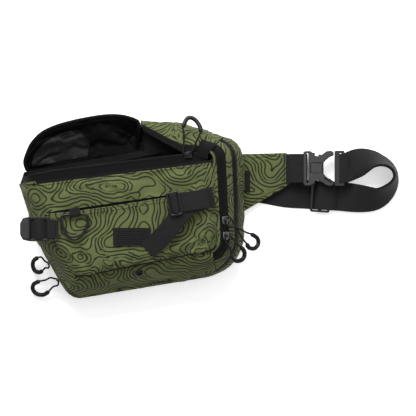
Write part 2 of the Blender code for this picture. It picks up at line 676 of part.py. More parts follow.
def build_zips(wall, nickel, black):
    """The five sliders and their pulls."""
    rim_start, rim_end = np.array(FRONT_SEAM[0][:2]), np.array(RIM_RIGHT)
    ahead = (rim_end - rim_start) / np.linalg.norm(rim_end - rim_start)
    ahead, out = np.array([*ahead, 0.0]), np.array([-ahead[1], ahead[0], 0.0])
    tape_z = FRONT_Z - ZIP_RECESS - ZIP_TAPE / 2
    spot = np.array([MAIN_SLIDER_X, line_at(rim_start, rim_end, MAIN_SLIDER_X), tape_z])
    spot += out * (CLEAR + RIM_TAPE_WIDTH + SLIDER_NECK / 2 - 0.001)
    eye, axis = build_slider("main_slider", spot, ahead, (0, 0, 1), MAIN_PULL[3], nickel, 0.002)
    build_pull("main_pull", eye, axis, *MAIN_PULL[:3], black)
    middle = FRONT_ZIP_START + ZIP_WIDTH / 2
    for name, y, legs in (
        ("front_zip_upper", -0.0080, FRONT_UPPER_PULL),
        ("front_zip_lower", -0.0270, FRONT_LOWER_PULL),
    ):
        column = column_at(wall, middle, y)
        spot = tape_spot(wall, column, middle)
        eye, axis = build_slider(f"{name}_slider", spot, zip_direction(wall, column, middle),
                                 wall.normal(column, middle), legs[3], nickel)
        build_pull(f"{name}_pull", eye, axis, *legs[:3], black)
    for name, y, legs in (
        ("rear_zip_upper", -0.062, REAR_UPPER_PULL),
        ("rear_zip_lower", -0.084, REAR_LOWER_PULL),
    ):
        column = column_at(wall, REAR_ZIP_LOW, y, left=True)
        spot = tape_spot(wall, column, REAR_ZIP_LOW)
        eye, axis = build_slider(f"{name}_slider", spot, zip_direction(wall, column, REAR_ZIP_LOW),
                                 wall.normal(column, REAR_ZIP_LOW), legs[3], nickel)
        build_pull(f"{name}_pull", eye, axis, *legs[:3], black)


def column_at(wall, distance, y, left=False):
    """The wall's column where a line at a distance from the front seam reaches a Y."""
    if left:
        columns = np.arange(0, 2 * CORNER, 0.1)
    else:
        columns = np.arange(RIGHT_FROM, RIGHT_TO, 0.1)
    heights = [wall.point(c, distance)[1] for c in columns]
    return float(columns[int(np.argmin(np.abs(np.array(heights) - y)))])


def tape_spot(wall, column, distance):
    """The middle of a zip tape's thickness."""
    depth = ZIP_RECESS + ZIP_TAPE / 2
    return wall.point(column, distance) - wall.normal(column, distance) * depth


def zip_direction(wall, column, distance):
    """The direction in which a zip runs."""
    return wall.point(column + 0.2, distance) - wall.point(column - 0.2, distance)


def loop_tab(name, bar, along, reach, width, bar_half, thick, material):
    """Webbing folded round a bar: a strip above it and a strip below, joined where they are sewn down."""
    along = Vector(along).normalized()
    side = Vector((0, 0, 1)).cross(along)
    gap_x, gap_z = bar_half[0] + CLEAR, bar_half[1] + CLEAR
    profile = [
        (reach, -gap_z - thick), (reach, gap_z + thick), (-gap_x - thick, gap_z + thick),
        (-gap_x - thick, -gap_z - thick),
    ]
    hole = [(gap_x, -gap_z), (gap_x, gap_z), (-gap_x, gap_z), (-gap_x, -gap_z)]
    points, faces = [], []
    for end in (-0.5, 0.5):
        for x, z in profile + hole:
            points.append(Vector(bar) + along * x + side * end * width + Vector((0, 0, z)))
    for i in range(4):
        j = (i + 1) % 4
        faces.append([i, j, j + 8, i + 8])
        faces.append([i + 4, j + 4, j + 12, i + 12])
        for base in (0, 8):
            faces.append([base + i, base + j, base + j + 4, base + i + 4])
    return mesh_object(name, points, faces, material)


def build_hardware(wall, webbing, plastic, nickel):
    """What is sewn to the bag's front: the handle, label, ladder lock, D-ring and eyelet."""
    top = POCKET_TOP + CLEAR
    label_z = top + CLEAR
    slab("label_patch", box_outline(LABEL_LOW, LABEL_HIGH), label_z, label_z + LABEL_THICK, webbing)
    spots = [(x, y, top + z) for x, y, z in HANDLE_LINE]
    across = [(x, y, 0) for x, y in HANDLE_ACROSS]
    ribbon("handle_webbing", spots, across, HANDLE_WIDTH, WEBBING, webbing)
    glide = slab("handle_triglide", box_outline((-0.0085, -0.0158), (0.0085, 0.0158)), 0, 0.003, plastic)
    for x in (-0.0037, 0.0037):
        cut(glide, slab("glide_slot", box_outline((x - 0.0022, -0.0128), (x + 0.0022, 0.0128)),
                        -0.001, 0.004, plastic))
    at = Matrix.Translation((*HANDLE_GLIDE[:2], top + HANDLE_GLIDE[2]))
    place_with_cutters(glide, at @ Matrix.Rotation(HANDLE_GLIDE_TURN, 4, "Z"))

    lock_z = top + WEBBING + CLEAR + LADDER_BAR / 2 + 0.0004
    half = HANDLE_WIDTH / 2
    lock = slab("ladder_lock", ladder_outline(half + 0.0035), -LADDER_BAR / 2, LADDER_BAR / 2, plastic)
    for low, high in ((-0.0085, -0.0017), (-0.0175, -0.0115)):
        cut(lock, slab("lock_slot", box_outline((low, -half - WEB_FIT), (high, half + WEB_FIT)),
                       -0.004, 0.004, plastic))
    place_with_cutters(lock, Matrix.Translation((*LOCK_BAR, lock_z)))
    loop_tab("ladder_lock_tab", (*LOCK_BAR, lock_z), (1, 0, 0), 0.0125, HANDLE_WIDTH - 0.001,
             (LADDER_BAR * 0.64, LADDER_BAR * 0.64), WEBBING * 0.8, webbing)

    ring_z = top + WEBBING + CLEAR + D_RING_WIRE / 2 + 0.0002
    ring_line = smooth_loop([(x, y, ring_z) for x, y in D_RING_LINE], 24)
    d_ring = tube("d_ring", ring_line, D_RING_WIRE, nickel, closed=True)
    set_origin(d_ring, (*D_RING_HINGE, ring_z))
    loop_tab("d_ring_tab", (*D_RING_HINGE, ring_z), (-0.14, 0.99, 0), 0.0060, 0.014,
             (D_RING_WIRE / 2 + 0.0009, D_RING_WIRE / 2 + 0.0005), WEBBING * 0.8, webbing)

    column, distance = 2 * CORNER + 1.4, 0.013
    up = Vector(wall.normal(column, distance))
    spot = Vector(wall.point(column, distance)) + up * (CLEAR + 0.0008)
    turn = Vector((0, 0, 1)).rotation_difference(up).to_matrix().to_4x4()
    turn.translation = spot
    eyelet = eye_ring("eyelet", plastic)
    eyelet.data.transform(turn @ Matrix.Diagonal((1.7, 1.7, 1.3, 1)))


def ladder_outline(half):
    """The ladder lock's outline from its fixed bar out to its rounded thumb tab."""
    tip = [(-0.0230, half), (-0.0335, half * 0.86), (-0.0372, half * 0.45)]
    side = [(0.0016, half), *tip]
    return [(x, -y) for x, y in side[::-1]][::-1] + side[::-1]


def smooth_loop(points, count):
    """Evenly spaced points on a smooth closed curve."""
    p = np.array(points, float)
    wrapped = np.vstack([p[-2:], p, p[:3]])
    route = smooth_route(wrapped, 0.0005)
    first = int(np.argmin(np.linalg.norm(route - p[0], axis=1)[: len(route) // 2]))
    rest = np.linalg.norm(route - p[0], axis=1)
    rest[: first + len(route) // 3] = 9
    last = int(np.argmin(rest))
    at = np.linspace(first, last, count, endpoint=False)
    return np.stack([np.interp(at, np.arange(len(route)), route[:, k]) for k in range(3)], axis=1)


def place_with_cutters(thing, matrix):
    """Places an object together with what cuts it."""
    for change in thing.modifiers:
        change.object.matrix_world = matrix
    thing.matrix_world = matrix


def build_wing(green, webbing):
    """The padded wing at the bag's right end, its side tag and the webbing to the buckle."""
    z = BACK_Z - CLEAR - WING_THICK / 2
    x0 = WING_HINGE_X + 2 * CLEAR
    outline = rounded_path([(x0, 0.0050, 0), (WING_END_X, 0.0395, 0.003), (WING_END_X, 0.0820, 0.003),
                            (x0, 0.0805, 0)], [0] * 4)
    wing = slab("wing", outline, z - WING_THICK / 2, z + WING_THICK / 2, green)
    tag = slab("wing_tag", box_outline((x0 + 0.001, 0.030), (x0 + 0.0075, 0.0585)),
               z + WING_THICK / 2 + CLEAR, z + WING_THICK / 2 + CLEAR + LABEL_THICK, webbing)
    bar = (BUCKLE_X + 0.0016, BUCKLE_Y, BUCKLE_Z)
    reach = WING_END_X + 2 * CLEAR - bar[0]
    tab = loop_tab("wing_webbing", bar, (-1, 0, 0), -reach, STRAP_WIDTH,
                   (0.0016, BUCKLE_BAR / 2), WEBBING, webbing)
    for thing in (wing, tag, tab):
        set_origin(thing, (WING_HINGE_X, 0.0425, BACK_Z))


def mirrored(half):
    """A closed outline from its upper half."""
    return [(x, -y) for x, y in half] + [(x, y) for x, y in half[::-1]]


def build_buckle(plastic):
    """The side-release buckle: socket, plug base and the two prongs that are squeezed."""
    at = Matrix.Translation((BUCKLE_X, BUCKLE_Y, BUCKLE_Z))
    half = STRAP_WIDTH / 2 + WEB_FIT
    socket = slab("buckle_socket", mirrored(SOCKET_HALF), -BUCKLE_THICK / 2, BUCKLE_THICK / 2, plastic)
    cut(socket, slab("socket_web", box_outline((0.0034, -half), (0.0088, half)), -0.01, 0.01, plastic))
    beside_bar = box_outline((-0.01, -half), (0.0060, half))
    cut(socket, slab("socket_bar", beside_bar, BUCKLE_BAR / 2, 0.01, plastic))
    cut(socket, slab("socket_under", beside_bar, -0.01, -BUCKLE_BAR / 2, plastic))
    for sign in (1, -1):
        space = [(0.0175, sign * 0.0062), (0.0420, sign * 0.0062), (0.0420, sign * 0.026),
                 (0.0175, sign * 0.026)]
        cut(socket, slab("prong_space", space, -PRONG_THICK / 2 - CLEAR, PRONG_THICK / 2 + CLEAR, plastic))
    place_with_cutters(socket, at)
    plug = slab("buckle_plug", box_outline((0.0408, -0.0232), (0.0540, 0.0232)), -BUCKLE_BAR / 2,
                BUCKLE_BAR / 2, plastic)
    cut(plug, slab("plug_web", box_outline((0.0450, -half), (0.0502, half)), -0.01, 0.01, plastic))
    place_with_cutters(plug, at)
    for name, sign in (("prong_upper", 1), ("prong_lower", -1)):
        outline = [(x, sign * y) for x, y in PRONG_HALF]
        prong = slab(name, outline, -PRONG_THICK / 2, PRONG_THICK / 2, plastic)
        prong.data.transform(at)
        set_origin(prong, (BUCKLE_X + 0.0398, BUCKLE_Y + sign * 0.0188, BUCKLE_Z))


def strap_line():
    """Middle, inward direction and lean of the doubled strap, from the lower branch round to the plug."""
    stations = [(x, y, FLOOR_LAYER, lean) for x, y, lean in STRAP_STATIONS]
    stations = np.array(stations + STRAP_LIFT)
    route = smooth_route(stations[:, :3], 0.0065)
    along = np.concatenate([[0], np.cumsum(np.linalg.norm(np.diff(stations[:, :3], axis=0), axis=1))])
    lean = np.radians(np.interp(np.linspace(0, along[-1], len(route)), along, stations[:, 3]))
    ahead = np.gradient(route, axis=0) * [1, 1, 0]
    ahead /= np.linalg.norm(ahead, axis=1)[:, None]
    inward = np.stack([-ahead[:, 1], ahead[:, 0], np.zeros(len(route))], axis=1)
    across = inward * np.cos(lean)[:, None] + np.array([0, 0, 1]) * np.sin(lean)[:, None]
    route[:, 2] += STRAP_WIDTH / 2 * np.sin(lean)
    normal = np.cross(ahead, across)
    return route, across, normal


def build_strap(webbing, plastic):
    """The strap under the bag, its doubled loop through the plug, and the adjuster."""
    board = BOARD_Z - CLEAR - WEBBING / 2
    run = [(-0.138, STRAP_RUN_Y, board), (-0.124, STRAP_RUN_Y, board), (-0.104, STRAP_RUN_Y, 0.0030),
           (-0.085, STRAP_RUN_Y, 0.0014), (0.060, STRAP_RUN_Y, 0.0014),
           (WING_HINGE_X - CLEAR, STRAP_RUN_Y, 0.0014)]
    ribbon("strap_under", run, [(0, 1, 0)] * len(run), STRAP_WIDTH, WEBBING, webbing)
    route, across, normal = strap_line()
    start = int(np.argmin(np.abs(route[:, 0] - STRAP_END_X)[: len(route) // 2]))
    low = route - normal * LAYER_OFFSET
    high = (route + normal * LAYER_OFFSET)[start:]
    end_along = np.array([-1.0, -STRAP_END_SLOPE, 0.0])
    rise = [high[0] + end_along * d + [0, 0, h] for d, h in
            ((0.0225, 0.0056), (0.0160, 0.0056), (0.0098, 0.0), (0.0050, 0.0))]
    x, y, z = BUCKLE_X + 0.0521, BUCKLE_Y, BUCKLE_Z
    wrap = [(x + 0.0065, y, z + 0.0024), (x + 0.0020, y, z + 0.0034), (x - 0.0026, y, z + 0.0029),
            (x - 0.0039, y, z), (x - 0.0026, y, z - 0.0029), (x + 0.0020, y, z - 0.0034),
            (x + 0.0065, y, z - 0.0024)]
    middles = np.vstack([rise, high, wrap, low[::-1]])
    sideways = np.vstack([np.tile(across[start], (len(rise), 1)), across[start:],
                          np.tile([0, -1, 0], (len(wrap), 1)), across[::-1]])
    strap = ribbon("strap_webbing", middles, sideways, STRAP_WIDTH, WEBBING, webbing)
    set_origin(strap, (WING_HINGE_X, 0.0425, BACK_Z))
    glide = slab("tri_glide", box_outline((-0.0130, -0.0225), (0.0130, 0.0225)), 0, 0.0026, plastic)
    half = STRAP_WIDTH / 2 + WEB_FIT
    for x0, x1 in ((-0.0100, -0.0024), (0.0024, 0.0100)):
        cut(glide, slab("adjuster_slot", box_outline((x0, -half), (x1, half)), -0.001, 0.004, plastic))
    spot = high[0] + end_along * 0.0190
    place_with_cutters(glide, Matrix.Translation((spot[0], spot[1], high[0][2] + WEBBING / 2 + CLEAR))
                       @ Matrix.Rotation(math.atan2(STRAP_END_SLOPE, 1), 4, "Z"))


def main():
    clear_scene()
    green = finish("printed_fabric", (0.165, 0.205, 0.065), 0.85)
    black = finish("black_nylon", (0.012, 0.012, 0.013), 0.55)
    mesh_cloth = finish("spacer_mesh", (0.02, 0.02, 0.02), 0.9)
    webbing = finish("black_webbing", (0.022, 0.022, 0.024), 0.8)
    plastic = finish("black_acetal", (0.030, 0.030, 0.032), 0.45)
    nickel = finish("dark_nickel", (0.25, 0.25, 0.25), 0.35, 1.0)
    wall = SideWall()
    build_back(wall, black, mesh_cloth)
    build_wall(wall, green, black)
    build_front(wall, green, black)
    build_rim(wall, black)
    build_flap(green, black)
    build_zips(wall, nickel, black)
    build_hardware(wall, webbing, plastic, nickel)
    build_wing(green, webbing)
    build_buckle(plastic)
    build_strap(webbing, plastic)


main()
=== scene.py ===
"""Looks of a padded sling bag lying on its back with its main mouth unzipped.

Soft fabric panels, linings, zips, webbing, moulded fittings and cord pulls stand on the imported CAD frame.
Metres, +Z up, in the frame's own axes: +X runs towards the shoulder strap and +Y towards the mouth.
"""

import logging
import math
from dataclasses import dataclass, field
from enum import Enum
from typing import Callable, Sequence

import bmesh
import bpy
import numpy as np
from mathutils import Matrix, Vector, noise


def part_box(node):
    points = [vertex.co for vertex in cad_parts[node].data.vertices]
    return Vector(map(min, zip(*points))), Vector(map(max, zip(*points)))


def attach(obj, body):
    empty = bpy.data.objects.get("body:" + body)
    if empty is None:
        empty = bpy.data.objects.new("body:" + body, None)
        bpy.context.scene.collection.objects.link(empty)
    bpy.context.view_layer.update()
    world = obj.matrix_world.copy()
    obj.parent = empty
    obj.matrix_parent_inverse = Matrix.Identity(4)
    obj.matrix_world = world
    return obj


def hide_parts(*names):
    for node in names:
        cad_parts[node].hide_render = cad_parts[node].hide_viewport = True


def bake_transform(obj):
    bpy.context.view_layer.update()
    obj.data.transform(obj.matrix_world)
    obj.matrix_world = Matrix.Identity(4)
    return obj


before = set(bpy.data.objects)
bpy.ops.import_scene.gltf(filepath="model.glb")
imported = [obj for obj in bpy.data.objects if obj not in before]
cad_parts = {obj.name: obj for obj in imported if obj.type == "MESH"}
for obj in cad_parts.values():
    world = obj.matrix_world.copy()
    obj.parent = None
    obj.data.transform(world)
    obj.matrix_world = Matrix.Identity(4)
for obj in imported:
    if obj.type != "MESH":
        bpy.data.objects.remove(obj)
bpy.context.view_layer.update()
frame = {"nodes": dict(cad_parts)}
LOG = logging.getLogger("sling_bag")

Grid = np.ndarray
Point = tuple[float, float, float]
Outline = Sequence[tuple[float, float]]
Distance = Callable[[float], float] | float
Group = bpy.types.NodeTree
Material = bpy.types.Material
Shape = bmesh.types.BMesh
Socket = bpy.types.NodeSocket
Sockets = bpy.types.bpy_prop_collection
Thing = bpy.types.Object

UP = np.array([0.0, 0.0, 1.0])
PITCHED = [("Vector", "Vector"), ("Pitch", "Float")]

# Levels and sizes of the frame
CLEAR = 0.0004
BACK_Z = 0.0106
FRONT_Z = 0.0766
POCKET_TOP = 0.0855
STRAP_WIDTH = 0.038
HANDLE_WIDTH = 0.025
WEBBING = 0.0016
ZIP_WIDTH = 0.014
FRONT_ZIP = 0.012
REAR_ZIP_RIGHT = 0.0385
REAR_ZIP_LOW = 0.056
REAR_ZIP_RAMP = (0.0, 0.26, 0.74, 1.0)
RIM_RIGHT = (0.098, 0.0717)
RIM_TAPE = 0.0095
SLOT_LEFT = (-0.112, 0.003)
SLOT_RIGHT = (0.097, 0.034)
BACK_SEAM = [(-0.151, 0.041, 0.0), (-0.129, -0.028, 0.050), (-0.082, -0.110, 0.018), (0.142, -0.073, 0.064),
             (0.1405, 0.095, 0.032), (0.062, 0.118, 0.040), (0.008, 0.1235, 0.0)]
FRONT_SEAM = [(-0.128, 0.044, 0.0), (-0.103, -0.033, 0.040), (-0.076, -0.080, 0.010), (0.109, -0.043, 0.014),
              (0.102, 0.080, 0.008), (0.062, 0.089, 0.014), (0.010, 0.113, 0.0)]
FRONT_DROP = [0.0, 0.0, 0.0, 0.0, 0.0, 0.006, 0.052]
STRAIGHT_STEPS = 3
CORNER_STEPS = 5
PER_CORNER = STRAIGHT_STEPS + CORNER_STEPS
RIGHT_FROM = 3 * PER_CORNER - CORNER_STEPS + 1
RIGHT_TO = 4 * PER_CORNER
LAST_COLUMN = 6 * PER_CORNER - CORNER_STEPS
FLAP_LEFT = (-0.142, 0.0588)
FLAP_RIGHT = (0.004, 0.0850)
FLAP_TILT = math.radians(20.0)
WING_HINGE_X = 0.1435
BUCKLE = (0.222, 0.0615, 0.0152)

# Thickness of the cloths, and steps of their simulation
CLOTH = 0.0016
LINING = 0.0008
SETTLE_STEPS = 18


class Body(str, Enum):
    """Moving bodies of the frame."""

    BAG = "bag"
    FLAP = "mouth_flap"
    WING = "wing_strap"
    PLUG = "buckle_plug"
    PRONG_UPPER = "prong_upper"
    PRONG_LOWER = "prong_lower"
    LOCK = "ladder_lock"
    RING = "d_ring"
    GLIDE = "tri_glide"


class Slot(str, Enum):
    """Names of material slots."""

    PRINT = "printed_fabric"
    NYLON = "black_nylon"
    MESH = "spacer_mesh"
    WEBBING = "black_webbing"
    ACETAL = "black_acetal"
    SLEEVE = "cord_sleeve"
    NICKEL = "dark_nickel"


def place(thing: Thing, body: str, slot: Slot, *nodes: str) -> Thing:
    """Makes a piece ride on a body and stand for CAD nodes.

    Args:
        thing: The piece, in its place in the row frame.
        body: Name of the body it moves with.
        slot: A material slot name; not used.
        nodes: CAD nodes it stands for.

    Returns:
        The same piece.
    """
    name = body.value if isinstance(body, Body) else body
    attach(thing, name)
    if nodes:
        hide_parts(*nodes)
    LOG.info("%s rides on %s", thing.name, name)
    return thing


class Tree:
    """Adds nodes and links to a shader tree."""

    def __init__(self, tree: Group) -> None:
        """Keeps the tree."""
        self.tree = tree

    def feed(self, socket: Socket, value: object) -> None:
        """Links a socket, or sets its constant.

        Args:
            socket: The input.
            value: An output socket or a constant.
        """
        if isinstance(value, Socket):
            self.tree.links.new(value, socket)
        else:
            socket.default_value = value

    def node(self, kind: str, *values: object, **settings: object) -> bpy.types.Node:
        """Adds a node.

        Args:
            kind: Its Blender type.
            values: Its first inputs, in order.
            settings: Attributes to set.

        Returns:
            The node.
        """
        made = self.tree.nodes.new(kind)
        for key, value in settings.items():
            setattr(made, key, value)
        for socket, value in zip(made.inputs, values):
            self.feed(socket, value)
        return made

    def math(self, operation: str, *values: object) -> Socket:
        """The result of one maths operation."""
        return self.node("ShaderNodeMath", *values, operation=operation).outputs[0]

    def vector(self, operation: str, *values: object) -> Socket:
        """The result of one vector operation, a number for a dot product or a length."""
        made = self.node("ShaderNodeVectorMath", *values, operation=operation)
        return made.outputs["Value" if operation in ("DOT_PRODUCT", "LENGTH") else "Vector"]

    def noise(self, vector: object, scale: float, detail: float = 1.0) -> Socket:
        """Noise from 0 to 1 with a number of lumps per metre and of octaves."""
        return self.node("ShaderNodeTexNoise", vector, 0.0, scale, detail).outputs[0]

    def step(self, value: object, low: float, high: float) -> Socket:
        """A smooth step from 0 at low to 1 at high."""
        made = self.node("ShaderNodeMapRange", value, low, high, 0.0, 1.0, interpolation_type="SMOOTHSTEP")
        return made.outputs[0]

    def split(self, vector: object) -> Sockets:
        """The three numbers of a vector."""
        return self.node("ShaderNodeSeparateXYZ", vector).outputs

    def blend(self, factor: object, first: object, second: object) -> Socket:
        """A mix of two colours.

        Args:
            factor: Share of the second.
            first: The first colour.
            second: The second colour.

        Returns:
            The mixed colour.
        """
        made = self.node("ShaderNodeMix", factor, data_type="RGBA")
        for socket, value in zip(made.inputs[6:8], (first, second)):
            self.feed(socket, value)
        return made.outputs[2]

    def use(self, group: Group, **values: object) -> Sockets:
        """Adds a node group.

        Args:
            group: The group.
            values: Its inputs.

        Returns:
            Its outputs.
        """
        made = self.node("ShaderNodeGroup", node_tree=group)
        for key, value in values.items():
            self.feed(made.inputs[key], value)
        return made.outputs


def open_group(name: str, inputs: Sequence[tuple[str, str]], outputs: Sequence[str]) -> tuple:
    """Starts a shader node group.

    Args:
        name: The group's name.
        inputs: Name and kind, Vector or Float, of each input.
        outputs: Names of its number outputs.

    Returns:
        The group, its tree helper, its input sockets and its output sockets.
    """
    group = bpy.data.node_groups.new(name, "ShaderNodeTree")
    for label, kind in inputs:
        group.interface.new_socket(label, in_out="INPUT", socket_type="NodeSocket" + kind)
    for label in outputs:
        group.interface.new_socket(label, in_out="OUTPUT", socket_type="NodeSocketFloat")
    tree = Tree(group)
    return group, tree, tree.node("NodeGroupInput").outputs, tree.node("NodeGroupOutput").inputs


class Effects:
    """Shader effects that several finishes share, as node groups."""

    def __init__(self) -> None:
        """Makes every group once."""
        self.relief = self.make_relief()
        self.contour = self.make_contour()
        self.weave = self.make_weave()
        self.ribs = self.make_ribs()
        self.tone = self.make_tone()
        self.net = self.make_net()
        self.folds = self.make_folds()

    def make_relief(self) -> Group:
        """A smooth landscape whose level lines are printed.

        Returns:
            The group, from a place to a height.
        """
        group, tree, given, out = open_group("relief", [("Vector", "Vector")], ["Height"])
        long = tree.vector("MULTIPLY", given["Vector"], (0.72, 1.0, 1.0))
        hills = tree.noise(long, 17.0, 0.0)
        knolls = tree.noise(tree.vector("ADD", long, (3.1, 1.7, 4.2)), 36.0, 0.0)
        tree.feed(out["Height"], tree.math("MULTIPLY_ADD", knolls, 0.30, hills))
        return group

    def make_contour(self) -> Group:
        """Level lines of the landscape, of even width on the cloth.

        Returns:
            The group, from a place and a normal to a line mask.
        """
        takes = [("Vector", "Vector"), ("Normal", "Vector"), ("Levels", "Float"), ("Width", "Float")]
        group, tree, given, out = open_group("contour_lines", takes, ["Line"])
        step = 0.0006
        here = tree.use(self.relief, Vector=given["Vector"])["Height"]
        slopes = []
        for axis in ((step, 0, 0), (0, step, 0), (0, 0, step)):
            moved = tree.vector("ADD", given["Vector"], axis)
            there = tree.use(self.relief, Vector=moved)["Height"]
            slopes.append(tree.math("DIVIDE", tree.math("SUBTRACT", there, here), step))
        slope = tree.node("ShaderNodeCombineXYZ", *slopes).outputs[0]
        lift = tree.vector("MULTIPLY", given["Normal"], tree.vector("DOT_PRODUCT", slope, given["Normal"]))
        flat = tree.vector("LENGTH", tree.vector("SUBTRACT", slope, lift))
        level = tree.math("MULTIPLY", here, given["Levels"])
        steep = tree.math("MAXIMUM", tree.math("MULTIPLY", flat, given["Levels"]), 20.0)
        every = self.level_line(tree, level, steep, given["Width"])
        # Where lines crowd, more than 310 to a metre, only every second one is printed
        half_level = tree.math("MULTIPLY_ADD", level, 0.5, 0.25)
        second = self.level_line(tree, half_level, tree.math("MULTIPLY", steep, 0.5), given["Width"])
        apart = tree.math("SUBTRACT", 1.0, tree.step(steep, 250.0, 310.0))
        tree.feed(out["Line"], tree.math("MAXIMUM", tree.math("MULTIPLY", every, apart), second))
        return group

    @staticmethod
    def level_line(tree: Tree, level: object, steep: object, width: object) -> Socket:
        """Lines where a level passes a half.

        Args:
            tree: The group's nodes.
            level: The level.
            steep: How fast it changes over the cloth.
            width: Width of a line.

        Returns:
            The mask of the lines.
        """
        off = tree.math("ABSOLUTE", tree.math("SUBTRACT", tree.math("FRACT", level), 0.5))
        share = tree.math("DIVIDE", tree.math("DIVIDE", off, steep), width)
        return tree.math("SUBTRACT", 1.0, tree.step(share, 0.34, 0.62))

    def make_weave(self) -> Group:
        """A plain weave.

        Returns:
            The group, from a place and a thread pitch to a height.
        """
        group, tree, given, out = open_group("plain_weave", PITCHED, ["Height"])
        parts = tree.split(given["Vector"])
        turns = tree.math("DIVIDE", 2 * math.pi, given["Pitch"])
        waves = []
        for first, second in ((0, 2), (1, 2)):
            along = tree.math("ADD", parts[first], parts[second])
            waves.append(tree.math("SINE", tree.math("MULTIPLY", along, turns)))
        tree.feed(out["Height"], tree.math("MULTIPLY_ADD", tree.math("MULTIPLY", *waves), 0.5, 0.5))
        return group

    def make_ribs(self) -> Group:
        """Webbing: fine ribs across it and warp threads along it.

        Returns:
            The group, from a place on the strip to a height.
        """
        group, tree, given, out = open_group("webbing_ribs", PITCHED, ["Height"])
        parts = tree.split(given["Vector"])
        turns = tree.math("DIVIDE", 2 * math.pi, given["Pitch"])
        warp = tree.math("SINE", tree.math("MULTIPLY", parts[1], turns))
        shift = tree.math("MULTIPLY", warp, 0.9)
        rib = tree.math("SINE", tree.math("MULTIPLY_ADD", parts[0], turns, shift))
        tree.feed(out["Height"], tree.math("MULTIPLY_ADD", rib, 0.35, tree.math("MULTIPLY", warp, 0.2)))
        return group

    def make_tone(self) -> Group:
        """Slow and fast unevenness.

        Returns:
            The group, from a place to a slow tone and a fine grain.
        """
        group, tree, given, out = open_group("uneven_tone", [("Vector", "Vector")], ["Tone", "Grain"])
        tree.feed(out["Tone"], tree.noise(given["Vector"], 24.0, 3.0))
        tree.feed(out["Grain"], tree.noise(given["Vector"], 900.0, 2.0))
        return group

    def make_net(self) -> Group:
        """An open net of round holes.

        Returns:
            The group, from a place and a pitch to a hole mask.
        """
        group, tree, given, out = open_group("open_net", PITCHED, ["Hole"])
        parts = tree.split(given["Vector"])
        turns = tree.math("DIVIDE", math.pi, given["Pitch"])
        first = tree.math("ADD", parts[0], parts[1])
        second = tree.math("SUBTRACT", parts[0], parts[1])
        waves = [tree.math("SINE", tree.math("MULTIPLY", v, turns)) for v in (first, second)]
        both = tree.math("MULTIPLY", *(tree.math("ABSOLUTE", wave) for wave in waves))
        tree.feed(out["Hole"], tree.step(both, 0.25, 0.5))
        return group

    def make_folds(self) -> Group:
        """Soft creases of thin coated cloth.

        Returns:
            The group, from a place to a height.
        """
        group, tree, given, out = open_group("soft_folds", [("Vector", "Vector")], ["Height"])
        bent = tree.noise(given["Vector"], 30.0, 2.0)
        crease = tree.math("ABSOLUTE", tree.math("SUBTRACT", bent, 0.5))
        fine = tree.noise(given["Vector"], 160.0, 1.0)
        tree.feed(out["Height"], tree.math("MULTIPLY_ADD", fine, 0.08, crease))
        return group


@dataclass(frozen=True)
class Finish:
    """A look of one material.

    Attributes:
        name: The material's name.
        colour: Base colour, linear.
        roughness: Surface roughness.
        metallic: Share of metal.
        specular: Strength of its reflections.
    """

    name: str
    colour: tuple[float, float, float]
    roughness: float
    metallic: float = 0.0
    specular: float = 0.5

    def start(self, place_by: str = "Object") -> tuple:
        """Makes the material with its Principled shader.

        Args:
            place_by: The texture coordinate that its patterns follow.

        Returns:
            The material, its tree helper, its shader's inputs and its place socket.
        """
        made = bpy.data.materials.new(self.name)
        made.use_nodes = True
        tree = Tree(made.node_tree)
        inputs = made.node_tree.nodes["Principled BSDF"].inputs
        inputs["Base Color"].default_value = (*self.colour, 1.0)
        inputs["Roughness"].default_value = self.roughness
        inputs["Metallic"].default_value = self.metallic
        inputs["Specular IOR Level"].default_value = self.specular
        return made, tree, inputs, tree.node("ShaderNodeTexCoord").outputs[place_by]

    def vary(self, tree: Tree, inputs: Sockets, tone: Socket, spread_by: float) -> None:
        """Spreads the roughness round its value by a tone from 0 to 1."""
        low = self.roughness - spread_by / 2
        tree.feed(inputs["Roughness"], tree.math("MULTIPLY_ADD", tone, spread_by, low))

    @staticmethod
    def bump(tree: Tree, inputs: Sockets, height: Socket, distance: float, strength: float = 1.0) -> None:
        """Feeds a bump from a height.

        Args:
            tree: The material's tree helper.
            inputs: The shader's inputs.
            height: The height socket.
            distance: Depth in metres.
            strength: How much of it shows.
        """
        made = tree.node("ShaderNodeBump", strength, distance)
        tree.feed(made.inputs["Height"], height)
        tree.feed(inputs["Normal"], made.outputs[0])


@dataclass(frozen=True)
class PrintedCloth(Finish):
    """Woven nylon with printed level lines.

    Attributes:
        line: Colour of the lines.
        levels: Lines per unit of the landscape's height.
        line_width: Width of a line in metres.
    """

    line: tuple[float, float, float] = (0.010, 0.012, 0.006)
    levels: float = 31.0
    line_width: float = 0.0021

    def make(self, effects: Effects) -> Material:
        """Builds the material.

        Args:
            effects: The shared node groups.

        Returns:
            The material.
        """
        made, tree, inputs, spot = self.start()
        face = tree.node("ShaderNodeNewGeometry").outputs["Normal"]
        lines = tree.use(effects.contour, Vector=spot, Normal=face, Levels=self.levels, Width=self.line_width)
        uneven = tree.use(effects.tone, Vector=spot)
        dark = tuple(c * 0.80 for c in self.colour)
        ground = tree.blend(uneven["Tone"], (*dark, 1), (*(c * 1.12 for c in self.colour), 1))
        grainy = tree.blend(tree.math("MULTIPLY", uneven["Grain"], 0.35), ground, (*dark, 1))
        ink = tree.math("MULTIPLY", lines["Line"], 0.94)
        tree.feed(inputs["Base Color"], tree.blend(ink, grainy, (*self.line, 1)))
        self.vary(tree, inputs, uneven["Grain"], 0.12)
        tree.feed(inputs["Sheen Weight"], 0.03)
        threads = tree.use(effects.weave, Vector=spot, Pitch=0.0012)["Height"]
        self.bump(tree, inputs, threads, 0.00012, 0.6)
        return made


